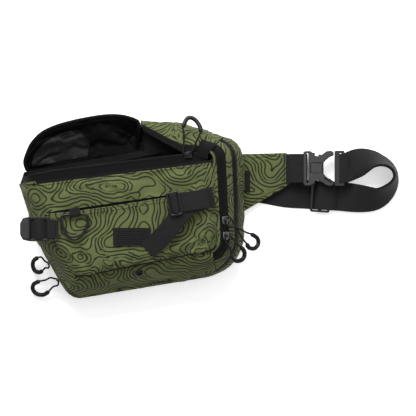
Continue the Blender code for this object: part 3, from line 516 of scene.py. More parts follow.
@dataclass(frozen=True)
class Lining(Finish):
    """Thin coated cloth with soft creases and a sheen.

    Attributes:
        depth: Depth of the creases in metres.
    """

    depth: float = 0.0016

    def make(self, effects: Effects) -> Material:
        """Builds the material.

        Args:
            effects: The shared node groups.

        Returns:
            The material.
        """
        made, tree, inputs, spot = self.start()
        folds = tree.use(effects.folds, Vector=spot)["Height"]
        threads = tree.use(effects.weave, Vector=spot, Pitch=0.0009)["Height"]
        both = tree.math("MULTIPLY_ADD", threads, 0.02, folds)
        uneven = tree.use(effects.tone, Vector=spot)["Tone"]
        self.vary(tree, inputs, uneven, 0.16)
        self.bump(tree, inputs, both, self.depth)
        return made


@dataclass(frozen=True)
class Ribbed(Finish):
    """Webbing or zip tape, patterned along its own length, with a painted highlight on its rib crests.

    Attributes:
        pitch: Width of a thread in metres.
        depth: Depth of the ribs in metres.
    """

    pitch: float = 0.0017
    depth: float = 0.00035

    def make(self, effects: Effects) -> Material:
        """Builds the material.

        Args:
            effects: The shared node groups.

        Returns:
            The material.
        """
        made, tree, inputs, spot = self.start("UV")
        height = tree.use(effects.ribs, Vector=spot, Pitch=self.pitch)["Height"]
        uneven = tree.use(effects.tone, Vector=spot)
        # Painted highlight: rib crests are lightened up to one and a half times the base colour
        painted_highlight = tuple(c * 1.5 for c in self.colour)
        highlight_mask = tree.step(height, -0.3, 0.5)
        tree.feed(inputs["Base Color"], tree.blend(highlight_mask, (*self.colour, 1), (*painted_highlight, 1)))
        self.vary(tree, inputs, uneven["Tone"], 0.14)
        tree.feed(inputs["Sheen Weight"], 0.04)
        self.bump(tree, inputs, height, self.depth)
        return made


@dataclass(frozen=True)
class Netting(Finish):
    """Open or padded net cloth, with painted shade in its holes.

    Attributes:
        pitch: Distance between holes in metres.
        open_holes: Whether one sees through the holes.
    """

    pitch: float = 0.0030
    open_holes: bool = False

    def make(self, effects: Effects) -> Material:
        """Builds the material.

        Args:
            effects: The shared node groups.

        Returns:
            The material.
        """
        made, tree, inputs, spot = self.start()
        hole = tree.use(effects.net, Vector=spot, Pitch=self.pitch)["Hole"]
        # Painted shade: the holes are a quarter of the cloth's colour
        hole_shade = tuple(c * 0.25 for c in self.colour)
        tree.feed(inputs["Base Color"], tree.blend(hole, (*self.colour, 1), (*hole_shade, 1)))
        if self.open_holes:
            tree.feed(inputs["Alpha"], tree.math("SUBTRACT", 1.0, hole))
        self.bump(tree, inputs, tree.math("SUBTRACT", 1.0, hole), 0.0006)
        return made


@dataclass(frozen=True)
class Moulded(Finish):
    """Moulded plastic, rubber or plated metal with a fine grain and rubbed highs.

    Attributes:
        grain: Depth of the grain in metres.
    """

    grain: float = 0.00006

    def make(self, effects: Effects) -> Material:
        """Builds the material.

        Args:
            effects: The shared node groups.

        Returns:
            The material.
        """
        made, tree, inputs, spot = self.start()
        uneven = tree.use(effects.tone, Vector=spot)
        rubbed = tuple(min(c * 1.35, 1.0) for c in self.colour)
        tree.feed(inputs["Base Color"], tree.blend(uneven["Tone"], (*self.colour, 1), (*rubbed, 1)))
        self.vary(tree, inputs, uneven["Tone"], 0.18)
        self.bump(tree, inputs, uneven["Grain"], self.grain, 0.7)
        return made


@dataclass
class Finishes:
    """Every material of the bag.

    Attributes:
        effects: The shared node groups.
    """

    effects: Effects
    cloth: Material = field(init=False)
    lining: Material = field(init=False)
    pocket: Material = field(init=False)
    tape: Material = field(init=False)
    webbing: Material = field(init=False)
    thread: Material = field(init=False)
    net: Material = field(init=False)
    spacer: Material = field(init=False)
    plastic: Material = field(init=False)
    buckle: Material = field(init=False)
    teeth: Material = field(init=False)
    rubber: Material = field(init=False)
    cord: Material = field(init=False)
    frame: Material = field(init=False)
    nickel: Material = field(init=False)

    def __post_init__(self) -> None:
        """Builds the materials."""
        made = {
            "cloth": PrintedCloth("printed_fabric", (0.101, 0.119, 0.0433), 0.88, specular=0.22),
            "lining": Lining("black_lining", (0.0035, 0.0035, 0.004), 0.45, specular=0.12),
            "pocket": Lining("coated_pocket", (0.009, 0.009, 0.010), 0.44, specular=0.5, depth=0.0011),
            "tape": Ribbed("zip_tape", (0.003, 0.003, 0.0033), 0.8, 0.0, 0.1, 0.0011, 0.00018),
            "webbing": Ribbed("black_webbing", (0.0080, 0.0080, 0.0087), 0.74, specular=0.17),
            "thread": Moulded("sewing_thread", (0.008, 0.008, 0.008), 0.8, specular=0.2),
            "net": Netting("pocket_net", (0.008, 0.008, 0.009), 0.7, specular=0.2, open_holes=True),
            "spacer": Netting("spacer_mesh", (0.016, 0.016, 0.017), 0.85, specular=0.2),
            "plastic": Moulded("black_acetal", (0.0052, 0.0052, 0.0056), 0.34, specular=0.3),
            "buckle": Moulded("buckle_acetal", (0.022, 0.022, 0.0235), 0.42, specular=0.4),
            "frame": Moulded("buckle_plug_acetal", (0.0125, 0.0125, 0.0132), 0.40, specular=0.35),
            "teeth": Moulded("zip_teeth", (0.0045, 0.0045, 0.005), 0.58, specular=0.16),
            "rubber": Moulded("pull_sleeve", (0.004, 0.004, 0.0045), 0.36, specular=0.25),
            "cord": Moulded("braided_cord", (0.005, 0.005, 0.005), 0.75, specular=0.2, grain=0.0003),
            "nickel": Moulded("dark_nickel", (0.20, 0.20, 0.21), 0.30, metallic=1.0),
        }
        for key, finish in made.items():
            setattr(self, key, finish.make(self.effects))


def along_of(line: Grid) -> np.ndarray:
    """Distance of each point of a line from its start."""
    return np.concatenate([[0], np.cumsum(np.linalg.norm(np.diff(line, axis=0), axis=1))])


def read_along(line: Grid, at: Sequence[float] | float, along: np.ndarray) -> Grid:
    """Rows read at distances along a line.

    Args:
        line: Its rows.
        at: One distance or several.
        along: Distances of its rows.

    Returns:
        A row for each distance.
    """
    return np.stack([np.interp(at, along, line[:, k]) for k in range(line.shape[1])], axis=-1)


def spread(points: Sequence[Sequence[float]], count: int) -> Grid:
    """A number of points set evenly along a line.

    Args:
        points: The line.
        count: How many.

    Returns:
        The points.
    """
    line = np.array(points, float)
    along = along_of(line)
    return read_along(line, np.linspace(0, along[-1], count), along)


def even(line: Sequence[Sequence[float]], step: float) -> Grid:
    """Points about one step apart along a line."""
    return spread(line, max(4, round(along_of(line)[-1] / step) + 1))


def curve_through(rows: Grid, parts: Sequence[int]) -> Grid:
    """A smooth curve through rows of numbers.

    Args:
        rows: What it goes through.
        parts: Steps from each row to the next.

    Returns:
        Rows along the curve.
    """
    p = np.vstack([2 * rows[0] - rows[1], rows, 2 * rows[-1] - rows[-2]])
    made = []
    for a, b, c, d, count in zip(p, p[1:], p[2:], p[3:], parts):
        square, cube = 2 * a - 5 * b + 4 * c - d, 3 * b - a - 3 * c + d
        for t in np.linspace(0, 1, count, endpoint=False):
            made.append(0.5 * (2 * b + (c - a) * t + square * t**2 + cube * t**3))
    return np.array([*made, p[-2]])


def smooth_route(points: Sequence[Sequence[float]], step: float) -> Grid:
    """Points about one step apart on a smooth curve through the points given."""
    return even(curve_through(np.array(points, float), [24] * (len(points) - 1)), step)


def unit(vectors: Grid) -> Grid:
    """Vectors made one long."""
    return vectors / np.maximum(np.linalg.norm(vectors, axis=-1, keepdims=True), 1e-12)


def ruffles(grid: Grid, size: float, seed: float) -> np.ndarray:
    """Smooth unevenness between -1 and 1 over a grid.

    Args:
        grid: Rows by columns by three.
        size: Size of a lump in metres.
        seed: Which pattern.

    Returns:
        Rows by columns.
    """
    spots = grid / size + np.array([seed, -seed, 0.37 * seed])
    return np.array([[noise.noise(Vector(p)) for p in row] for row in spots])


def hump(count: int) -> np.ndarray:
    """Half a wave: 0 at both ends and 1 in the middle."""
    return np.sin(np.linspace(0, math.pi, count))


def object_from(name: str, shape: Shape, *materials: Material) -> Thing:
    """An object from a shape, shaded smooth between its sharp edges.

    Args:
        name: The object's name.
        shape: The shape, which is freed.
        materials: Its materials.

    Returns:
        The object.
    """
    bmesh.ops.recalc_face_normals(shape, faces=shape.faces)
    mesh = bpy.data.meshes.new(name)
    shape.to_mesh(mesh)
    shape.free()
    for material in materials:
        mesh.materials.append(material)
    mesh.shade_smooth()
    mesh.set_sharp_from_angle(angle=math.radians(38))
    thing = bpy.data.objects.new(name, mesh)
    bpy.context.scene.collection.objects.link(thing)
    return thing


def grid_normals(grid: Grid) -> Grid:
    """Face directions at the points of a grid."""
    return unit(np.cross(np.gradient(grid, axis=1), np.gradient(grid, axis=0)))


def turn_of(grid: Grid, towards: Sequence[float]) -> float:
    """1 if the middle of a grid looks in a direction, or else -1."""
    middle = grid_normals(grid)[grid.shape[0] // 2, grid.shape[1] // 2]
    return -1.0 if middle @ np.array(towards) < 0 else 1.0


def facing(grid: Grid, towards: Sequence[float]) -> Grid:
    """Face directions of a grid, all turned so that its middle looks in a direction."""
    return grid_normals(grid) * turn_of(grid, towards)


def thick_sheet(name: str, grid: Grid, thick: float, *materials: Material,
                towards: Sequence[float] = UP) -> Thing:
    """Cloth of one thickness, with its pattern laid along its rows and columns.

    Args:
        name: The object's name.
        grid: Its outer face, rows by columns by three.
        thick: Thickness in metres.
        materials: Its material, and if given that of its inner face.
        towards: About where its outer face looks.

    Returns:
        The object.
    """
    rows, columns = grid.shape[:2]
    normals = facing(grid, towards)
    across, along = along_of(grid[:, columns // 2]), along_of(grid[rows // 2])
    shape = bmesh.new()
    uv = shape.loops.layers.uv.new("Cloth")
    layers = [[[shape.verts.new(p) for p in row] for row in grid - normals * depth] for depth in (0.0, thick)]

    def quad(spots: Sequence[tuple[int, int, int]], material: int = 0) -> None:
        """Adds a face with its pattern places.

        Args:
            spots: Layer, row and column of each corner.
            material: Which material it has.
        """
        face = shape.faces.new([layers[k][r][c] for k, r, c in spots])
        face.material_index = material
        for loop, (_, r, c) in zip(face.loops, spots):
            loop[uv].uv = (along[c], across[r])

    for r in range(rows - 1):
        for c in range(columns - 1):
            spots = [(r, c), (r, c + 1), (r + 1, c + 1), (r + 1, c)]
            quad([(0, *spot) for spot in spots])
            quad([(1, *spot) for spot in spots[::-1]], len(materials) - 1)
    edge = [(0, c) for c in range(columns - 1)] + [(r, columns - 1) for r in range(rows - 1)]
    edge += [(rows - 1, c) for c in range(columns - 1, 0, -1)] + [(r, 0) for r in range(rows - 1, 0, -1)]
    for a, b in zip(edge, edge[1:] + edge[:1]):
        quad([(0, *b), (0, *a), (1, *a), (1, *b)])
    return object_from(name, shape, *materials)


def settle(grid: Grid, pinned: np.ndarray, slack: float, pressure: float, most: float) -> Grid:
    """Lets a piece of cloth find its shape by simulation.

    Args:
        grid: Its points at the start, rows by columns by three.
        pinned: Which points stay, as rows by columns.
        slack: Share by which the cloth is larger than its place.
        pressure: Padding's push on the cloth.
        most: The furthest a point may move, in metres.

    Returns:
        The settled points.
    """
    rows, columns = grid.shape[:2]
    at = np.arange(rows * columns).reshape(rows, columns)
    quads = np.stack([at[:-1, :-1], at[:-1, 1:], at[1:, 1:], at[1:, :-1]], axis=-1).reshape(-1, 4)
    mesh = bpy.data.meshes.new("settling")
    mesh.from_pydata([tuple(p) for p in grid.reshape(-1, 3)], [], quads.tolist())
    cloth = bpy.data.objects.new("settling", mesh)
    scene = bpy.context.scene
    scene.collection.objects.link(cloth)
    group = cloth.vertex_groups.new(name="held")
    group.add([int(i) for i in np.nonzero(pinned.reshape(-1))[0]], 1.0, "REPLACE")
    change = cloth.modifiers.new("cloth", "CLOTH")
    rules = change.settings
    rules.quality = 5
    rules.mass = 0.2
    rules.tension_stiffness = 20
    rules.compression_stiffness = 20
    rules.shear_stiffness = 8
    rules.bending_stiffness = 0.6
    rules.air_damping = 4
    rules.shrink_min = -slack
    rules.use_pressure = True
    rules.uniform_pressure_force = pressure
    rules.vertex_group_mass = "held"
    rules.effector_weights.gravity = 0.0
    change.collision_settings.use_collision = False
    change.point_cache.frame_end = SETTLE_STEPS
    for step in range(1, SETTLE_STEPS + 1):
        scene.frame_set(step)
    seen = cloth.evaluated_get(bpy.context.evaluated_depsgraph_get()).data
    moved = np.array([v.co[:] for v in seen.vertices]).reshape(grid.shape) - grid
    scene.frame_set(1)
    bpy.data.objects.remove(cloth)
    reach = np.linalg.norm(moved, axis=-1, keepdims=True)
    return grid + moved * np.minimum(1.0, most / np.maximum(reach, 1e-9))


def rim_of(grid: Grid) -> np.ndarray:
    """The outermost points of a grid.

    Args:
        grid: Rows by columns by three.

    Returns:
        Rows by columns, true on the rim.
    """
    held = np.zeros(grid.shape[:2], bool)
    held[[0, -1]] = True
    held[:, [0, -1]] = True
    return held


def skin(shape: Shape, rings: Sequence[Grid], closed: bool = False) -> None:
    """Joins rings of points with faces, and covers both ends.

    Args:
        shape: The shape that gets them.
        rings: The rings, all with the same number of points.
        closed: Whether the last ring is joined to the first instead.
    """
    loops = [[shape.verts.new(p) for p in ring] for ring in rings]
    sides = len(loops[0])
    for first, second in zip(loops, [*loops[1:], *loops[:closed]]):
        shift = 0
        if second is loops[0]:
            gaps = [(first[0].co - v.co).length for v in second]
            shift = gaps.index(min(gaps))
        for i in range(sides):
            j = (i + 1) % sides
            shape.faces.new([first[i], first[j], second[(j + shift) % sides], second[(i + shift) % sides]])
    if not closed:
        shape.faces.new(loops[0][::-1])
        shape.faces.new(loops[-1])


def circle(count: int) -> np.ndarray:
    """Cosine and sine of evenly spaced angles."""
    return np.array([(math.cos(a), math.sin(a)) for a in np.linspace(0, 2 * math.pi, count, endpoint=False)])


def rod(name: str, route: Grid, radii: Grid | float, material: Material, sides: int = 8,
        closed: bool = False) -> Thing:
    """A round rod along a route.

    Args:
        name: The object's name.
        route: Its centreline.
        radii: Its radius, or that at each point.
        material: Its material.
        sides: Points round it.
        closed: Whether it ends where it starts.

    Returns:
        The object.
    """
    shape = bmesh.new()
    ahead = unit(np.roll(route, -1, 0) - np.roll(route, 1, 0) if closed else np.gradient(route, axis=0))
    side = np.cross(ahead[0], [0.13, 0.21, 1.0])
    rings = []
    for spot, way, radius in zip(route, ahead, np.broadcast_to(radii, len(route))):
        side = side - way * (side @ way)
        side = side / np.linalg.norm(side)
        other = np.cross(way, side)
        rings.append([spot + radius * (side * x + other * y) for x, y in circle(sides)])
    skin(shape, rings, closed)
    return object_from(name, shape, material)


def moulding(name: str, outline: Outline, low: float, high: float, round_by: float, material: Material,
             holes: Sequence[Outline] = ()) -> Thing:
    """A moulded plate of one outline with rounded edges and holes through it.

    Args:
        name: The object's name.
        outline: Its outline.
        low: Height of its underside.
        high: Height of its top.
        round_by: Radius of its edges.
        material: Its material.
        holes: Outlines cut out of it.

    Returns:
        The object.
    """
    shape = bmesh.new()
    edges = []
    for loop in (outline, *holes):
        spots = [shape.verts.new((x, y, low)) for x, y in loop]
        edges += [shape.edges.new((a, b)) for a, b in zip(spots, spots[1:] + spots[:1])]
    bmesh.ops.triangle_fill(shape, edges=edges, use_beauty=True, use_dissolve=True)
    made = bmesh.ops.extrude_face_region(shape, geom=list(shape.faces))
    tops = [v for v in made["geom"] if isinstance(v, bmesh.types.BMVert)]
    bmesh.ops.translate(shape, verts=tops, vec=(0, 0, high - low))
    thing = object_from(name, shape, material)
    soften = thing.modifiers.new("rounded", "BEVEL")
    soften.width = round_by
    soften.segments = 3
    soften.limit_method = "ANGLE"
    soften.angle_limit = math.radians(40)
    return thing


def rounded(points: Outline, radius: float, steps: int = 4) -> Outline:
    """A closed outline with rounded corners.

    Args:
        points: Its corners.
        radius: Radius of each corner.
        steps: Points on a corner.

    Returns:
        The outline.
    """
    p = [Vector(q) for q in points]
    line = []
    for i, spot in enumerate(p):
        into, out = p[i - 1] - spot, p[(i + 1) % len(p)] - spot
        reach = min(radius / max(math.tan(into.angle(out) / 2), 0.05), 0.48 * into.length, 0.48 * out.length)
        enter, leave = spot + into.normalized() * reach, spot + out.normalized() * reach
        for t in np.linspace(0, 1, steps + 1):
            line.append(tuple(enter.lerp(spot, t).lerp(spot.lerp(leave, t), t)))
    return line


def box(low: Sequence[float], high: Sequence[float], radius: float) -> Outline:
    """A rectangle with rounded corners between its lowest and its highest corner."""
    corners = [(low[0], low[1]), (high[0], low[1]), (high[0], high[1]), (low[0], high[1])]
    return rounded(corners, radius)


def mirrored(half: Outline) -> Outline:
    """An outline from its upper half."""
    return [(x, -y) for x, y in half] + list(half[::-1])


def place_all(parts: Sequence[Thing], turn: Matrix, body: str, slot: Slot, *nodes: str) -> None:
    """Moves parts that were made round the origin to their place on a body.

    Args:
        parts: The parts; the first stands for the CAD nodes.
        turn: Their place.
        body: The body they move with.
        slot: The material slot, passed on to place.
        nodes: CAD nodes.
    """
    for part in parts:
        part.data.transform(turn)
        place(part, body, slot, *nodes)
        nodes = ()


def give(thing: Thing, first: Body, second: Body) -> None:
    """Bakes a cloth's place into its mesh and logs the two bodies it lies between.

    Args:
        thing: The cloth.
        first: The body that it leaves.
        second: The body that it joins.
    """
    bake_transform(thing)
    LOG.info("%s gives between %s and %s", thing.name, first.value, second.value)


def stitches(name: str, route: Grid, material: Material, pitch: float = 0.0036, length: float = 0.0024,
             width: float = 0.0007, up: Sequence[float] = UP) -> Thing:
    """A run of sewn stitches, each a small rounded bar that dips in at its ends.

    Args:
        name: The object's name.
        route: The seam.
        material: The thread.
        pitch: Distance between stitches.
        length: Length of a stitch.
        width: Thickness of the thread.
        up: The cloth's face direction.

    Returns:
        The object.
    """
    along = along_of(route)
    count = max(1, int(along[-1] / pitch))
    normal = unit(np.array(up, float))
    shape = bmesh.new()
    for middle in (np.arange(count) + 0.5) * along[-1] / count:
        ends = [read_along(route, middle + share * length, along) + normal * height * width
                for share, height in ((-0.5, -0.35), (-0.25, 0.4), (0.25, 0.4), (0.5, -0.35))]
        side = np.cross(unit(ends[-1] - ends[0]), normal) * width / 2
        rise = normal * width / 2
        skin(shape, [[end + side * x + rise * y for x, y in circle(4)] for end in ends])
    return object_from(name, shape, material)


def zip_coil(name: str, line: Grid, across: Grid, up: Grid, material: Material) -> Thing:
    """The meshed coil of a closed zip, as a row of small rounded teeth.

    Args:
        name: The object's name.
        line: The zip's middle.
        across: Direction across it at each point.
        up: The cloth's face direction at each point.
        material: The teeth's material.

    Returns:
        The object.
    """
    rows = np.hstack([line, np.broadcast_to(across, line.shape), np.broadcast_to(up, line.shape)])
    along = along_of(line)
    count = int(along[-1] / 0.0017)
    shape = bmesh.new()
    for k in range(count):
        at = read_along(rows, (k + 0.5) * along[-1] / count, along)
        spot, side, rise = at[:3], unit(at[3:6]), unit(at[6:])
        way = unit(read_along(line, (k + 0.9) * along[-1] / count, along) - spot)
        skin(shape, [[spot + rise * height + (side * x * 0.0017 + way * y * 0.00055) * share
                      for x, y in ((-1, -1), (1, -1), (1, 1), (-1, 1))]
                     for height, share in ((-0.0004, 1.0), (0.0002, 1.0), (0.0006, 0.6))])
    return object_from(name, shape, material)


def patch(bottom: Grid, top: Grid, left: Grid, right: Grid) -> Grid:
    """A grid of points that fills four edges.

    Args:
        bottom: The first row, from left to right.
        top: The last row, from left to right.
        left: The first column, from bottom to top.
        right: The last column, from bottom to top.

    Returns:
        Rows by columns, with as many numbers as the edges have.
    """
    u = np.linspace(0, 1, len(bottom))[None, :, None]
    v = np.linspace(0, 1, len(left))[:, None, None]
    ruled = (1 - v) * bottom[None] + v * top[None] + (1 - u) * left[:, None] + u * right[:, None]
    below = (1 - v) * ((1 - u) * bottom[0] + u * bottom[-1])
    return ruled - below - v * ((1 - u) * top[0] + u * top[-1])


def level_patch(z: float, *edges: Grid) -> Grid:
    """A grid of points at one height that fills four edges drawn from above."""
    return patch(*(np.hstack([line, np.full((len(line), 1), z)]) for line in edges))


def between(first: Grid, second: Grid, columns: int) -> Grid:
    """A grid of points whose first and last columns are two lines."""
    share = np.linspace(0, 1, columns)[None, :, None]
    return first[:, None] * (1 - share) + second[:, None] * share


def creased(grid: Grid, folds: Sequence[tuple[float, ...]], depth: float, width: float) -> Grid:
    """Cloth with sharp folds pressed into it from above.

    Args:
        grid: Rows by columns by three.
        folds: Both ends of each fold, seen from above.
        depth: Depth of a fold.
        width: Half its width.

    Returns:
        The creased points.
    """
    made = grid.copy()
    for x0, y0, x1, y1 in folds:
        start, run = np.array([x0, y0]), np.array([x1 - x0, y1 - y0])
        share = np.clip((grid[..., :2] - start) @ run / (run @ run), 0, 1)
        gap = np.linalg.norm(grid[..., :2] - start - share[..., None] * run, axis=-1) / width
        fade = np.sin(np.clip(share, 0.08, 0.92) * math.pi) ** 0.5
        made[..., 2] -= depth * (1 - 1.2 * gap**2) * np.exp(-gap**2) * fade
    return made


def edge_distance(grid: Grid, line: Grid) -> np.ndarray:
    """Distance of each point of a grid from a line, seen from above."""
    return np.linalg.norm(grid[:, :, None, :2] - line[None, None, :, :2], axis=-1).min(axis=2)


def strip(name: str, points: Sequence[Sequence[float]], across: Sequence, width: float, thick: float,
          material: Material, step: float = 0.002, crown: float = 0.0) -> Thing:
    """Webbing along a line.

    Args:
        name: The object's name.
        points: Points along its middle.
        across: Its direction across, or that at each point.
        width: Its width.
        thick: Its thickness.
        material: Its material.
        step: Distance between its points.
        crown: How far its middle stands up.

    Returns:
        The object.
    """
    middles = np.array(points, float)
    rows = np.hstack([middles, np.broadcast_to(unit(np.array(across, float)), middles.shape)])
    rows = curve_through(rows, [max(1, round(gap / step)) for gap in np.diff(along_of(middles))])
    line, side = rows[:, :3], unit(rows[:, 3:])
    normals = unit(np.cross(np.gradient(line, axis=0), side))
    face = line + normals * thick / 2
    lifts = [(s, crown * (1 - 4 * s * s)) for s in (-0.485, -0.25, 0.0, 0.25, 0.485)]
    lifts = [(-0.5, -0.0005), *lifts, (0.5, -0.0005)]
    grid = np.stack([face + side * width * s + normals * lift for s, lift in lifts])
    return thick_sheet(name, grid, thick, material, towards=normals[len(normals) // 2])


class Wall:
    """The rounded side wall from the front seam out and down to the back seam."""

    def __init__(self) -> None:
        """Prepares its seams."""
        self.back = [Vector((x, y, BACK_Z)) for x, y, _ in BACK_SEAM]
        self.front = [Vector((x, y, FRONT_Z - d)) for (x, y, _), d in zip(FRONT_SEAM, FRONT_DROP)]

    @staticmethod
    def on_seam(spots: list[Vector], radii: Sequence[float], column: float) -> np.ndarray:
        """A point of a seam.

        Args:
            spots: The seam's corners.
            radii: Radius of each.
            column: Where, counted in the frame's own steps.

        Returns:
            The point.
        """

        def turn(k: int) -> tuple[Vector, Vector]:
            """Where a corner's curve starts and ends.

            Args:
                k: Which corner.

            Returns:
                Both points.
            """
            if k in (0, len(spots) - 1):
                return spots[k], spots[k]
            into, out = spots[k - 1] - spots[k], spots[k + 1] - spots[k]
            reach = radii[k] / math.tan(into.angle(out) / 2)
            reach = min(reach, 0.48 * into.length, 0.48 * out.length)
            return spots[k] + into.normalized() * reach, spots[k] + out.normalized() * reach

        k = min(int(column // PER_CORNER), len(spots) - 2)
        rest = column - k * PER_CORNER
        enter, leave = turn(k + 1)
        if rest <= STRAIGHT_STEPS:
            return np.array(turn(k)[1].lerp(enter, rest / STRAIGHT_STEPS))
        t = (rest - STRAIGHT_STEPS) / CORNER_STEPS
        return np.array(enter.lerp(spots[k + 1], t).lerp(spots[k + 1].lerp(leave, t), t))

    def front_at(self, column: float) -> np.ndarray:
        """A point of the front seam."""
        return self.on_seam(self.front, [c[2] for c in FRONT_SEAM], column)

    def back_at(self, column: float) -> np.ndarray:
        """A point of the back seam."""
        return self.on_seam(self.back, [c[2] for c in BACK_SEAM], column)

    def profile(self, column: float) -> Grid:
        """Points of the wall's curve from the front seam to the back seam.

        Args:
            column: The column.

        Returns:
            The points.
        """
        front, back = self.front_at(column), self.back_at(column)
        angles = np.linspace(0, math.pi / 2, 60)
        curve = front + (back - front) * np.sin(angles)[:, None]
        curve[:, 2] = back[2] + (front[2] - back[2]) * np.cos(angles)
        return curve

    def length(self, column: float) -> float:
        """The wall's length from seam to seam."""
        return float(along_of(self.profile(column))[-1])

    def columns(self, start: float, end: float, pitch: float) -> np.ndarray:
        """Columns about one pitch apart.

        Args:
            start: First column.
            end: Last column.
            pitch: Distance in metres.

        Returns:
            The columns.
        """
        fine = np.linspace(start, end, 400)
        along = along_of([(self.front_at(c) + self.back_at(c)) / 2 for c in fine])
        return np.interp(np.linspace(0, along[-1], max(4, round(along[-1] / pitch) + 1)), along, fine)

    def grid(self, columns: Sequence[float], near: Distance, far: Distance, rows: int) -> Grid:
        """Points of a strip of the wall.

        Args:
            columns: Its columns.
            near: Its first distance from the front seam, or that by column.
            far: Its last distance, or that by column.
            rows: How many rows.

        Returns:
            Rows by columns by three.
        """
        made = []
        for column in columns:
            curve = self.profile(column)
            first, last = (d(column) if callable(d) else d for d in (near, far))
            made.append(read_along(curve, np.linspace(first, last, rows), along_of(curve)))
        return np.array(made).transpose(1, 0, 2)

    @staticmethod
    def droop(grid: Grid, columns: Sequence[float]) -> Grid:
        """Lets the top gusset's loose edge hang into the mouth.

        Args:
            grid: A strip that starts at the front seam.
            columns: Its columns.

        Returns:
            The strip with its edge moved.
        """
        share = np.clip((np.array(columns) - RIGHT_TO - 0.6) / (LAST_COLUMN - RIGHT_TO - 0.6), 0, 1)
        reach = np.cumsum(np.linalg.norm(np.diff(grid, axis=0, prepend=grid[:1]), axis=2), axis=0)
        moved = grid.copy()
        moved[..., 1] -= 0.0062 * np.sin(math.pi * share)[None, :] * np.exp(-(reach / 0.016) ** 2)
        return moved


def rear_zip_at(column: float) -> float:
    """Where the rear zip runs, as a distance from the front seam."""
    ramp = np.interp(column, np.arange(4) + RIGHT_FROM - 1, REAR_ZIP_RAMP)
    return REAR_ZIP_LOW + (REAR_ZIP_RIGHT - REAR_ZIP_LOW) * float(ramp)


def outward(grid: Grid) -> np.ndarray:
    """Direction from inside the bag to the middle of a strip of its wall."""
    return grid[grid.shape[0] // 2, grid.shape[1] // 2] - np.array([0.0, 0.02, 0.02])


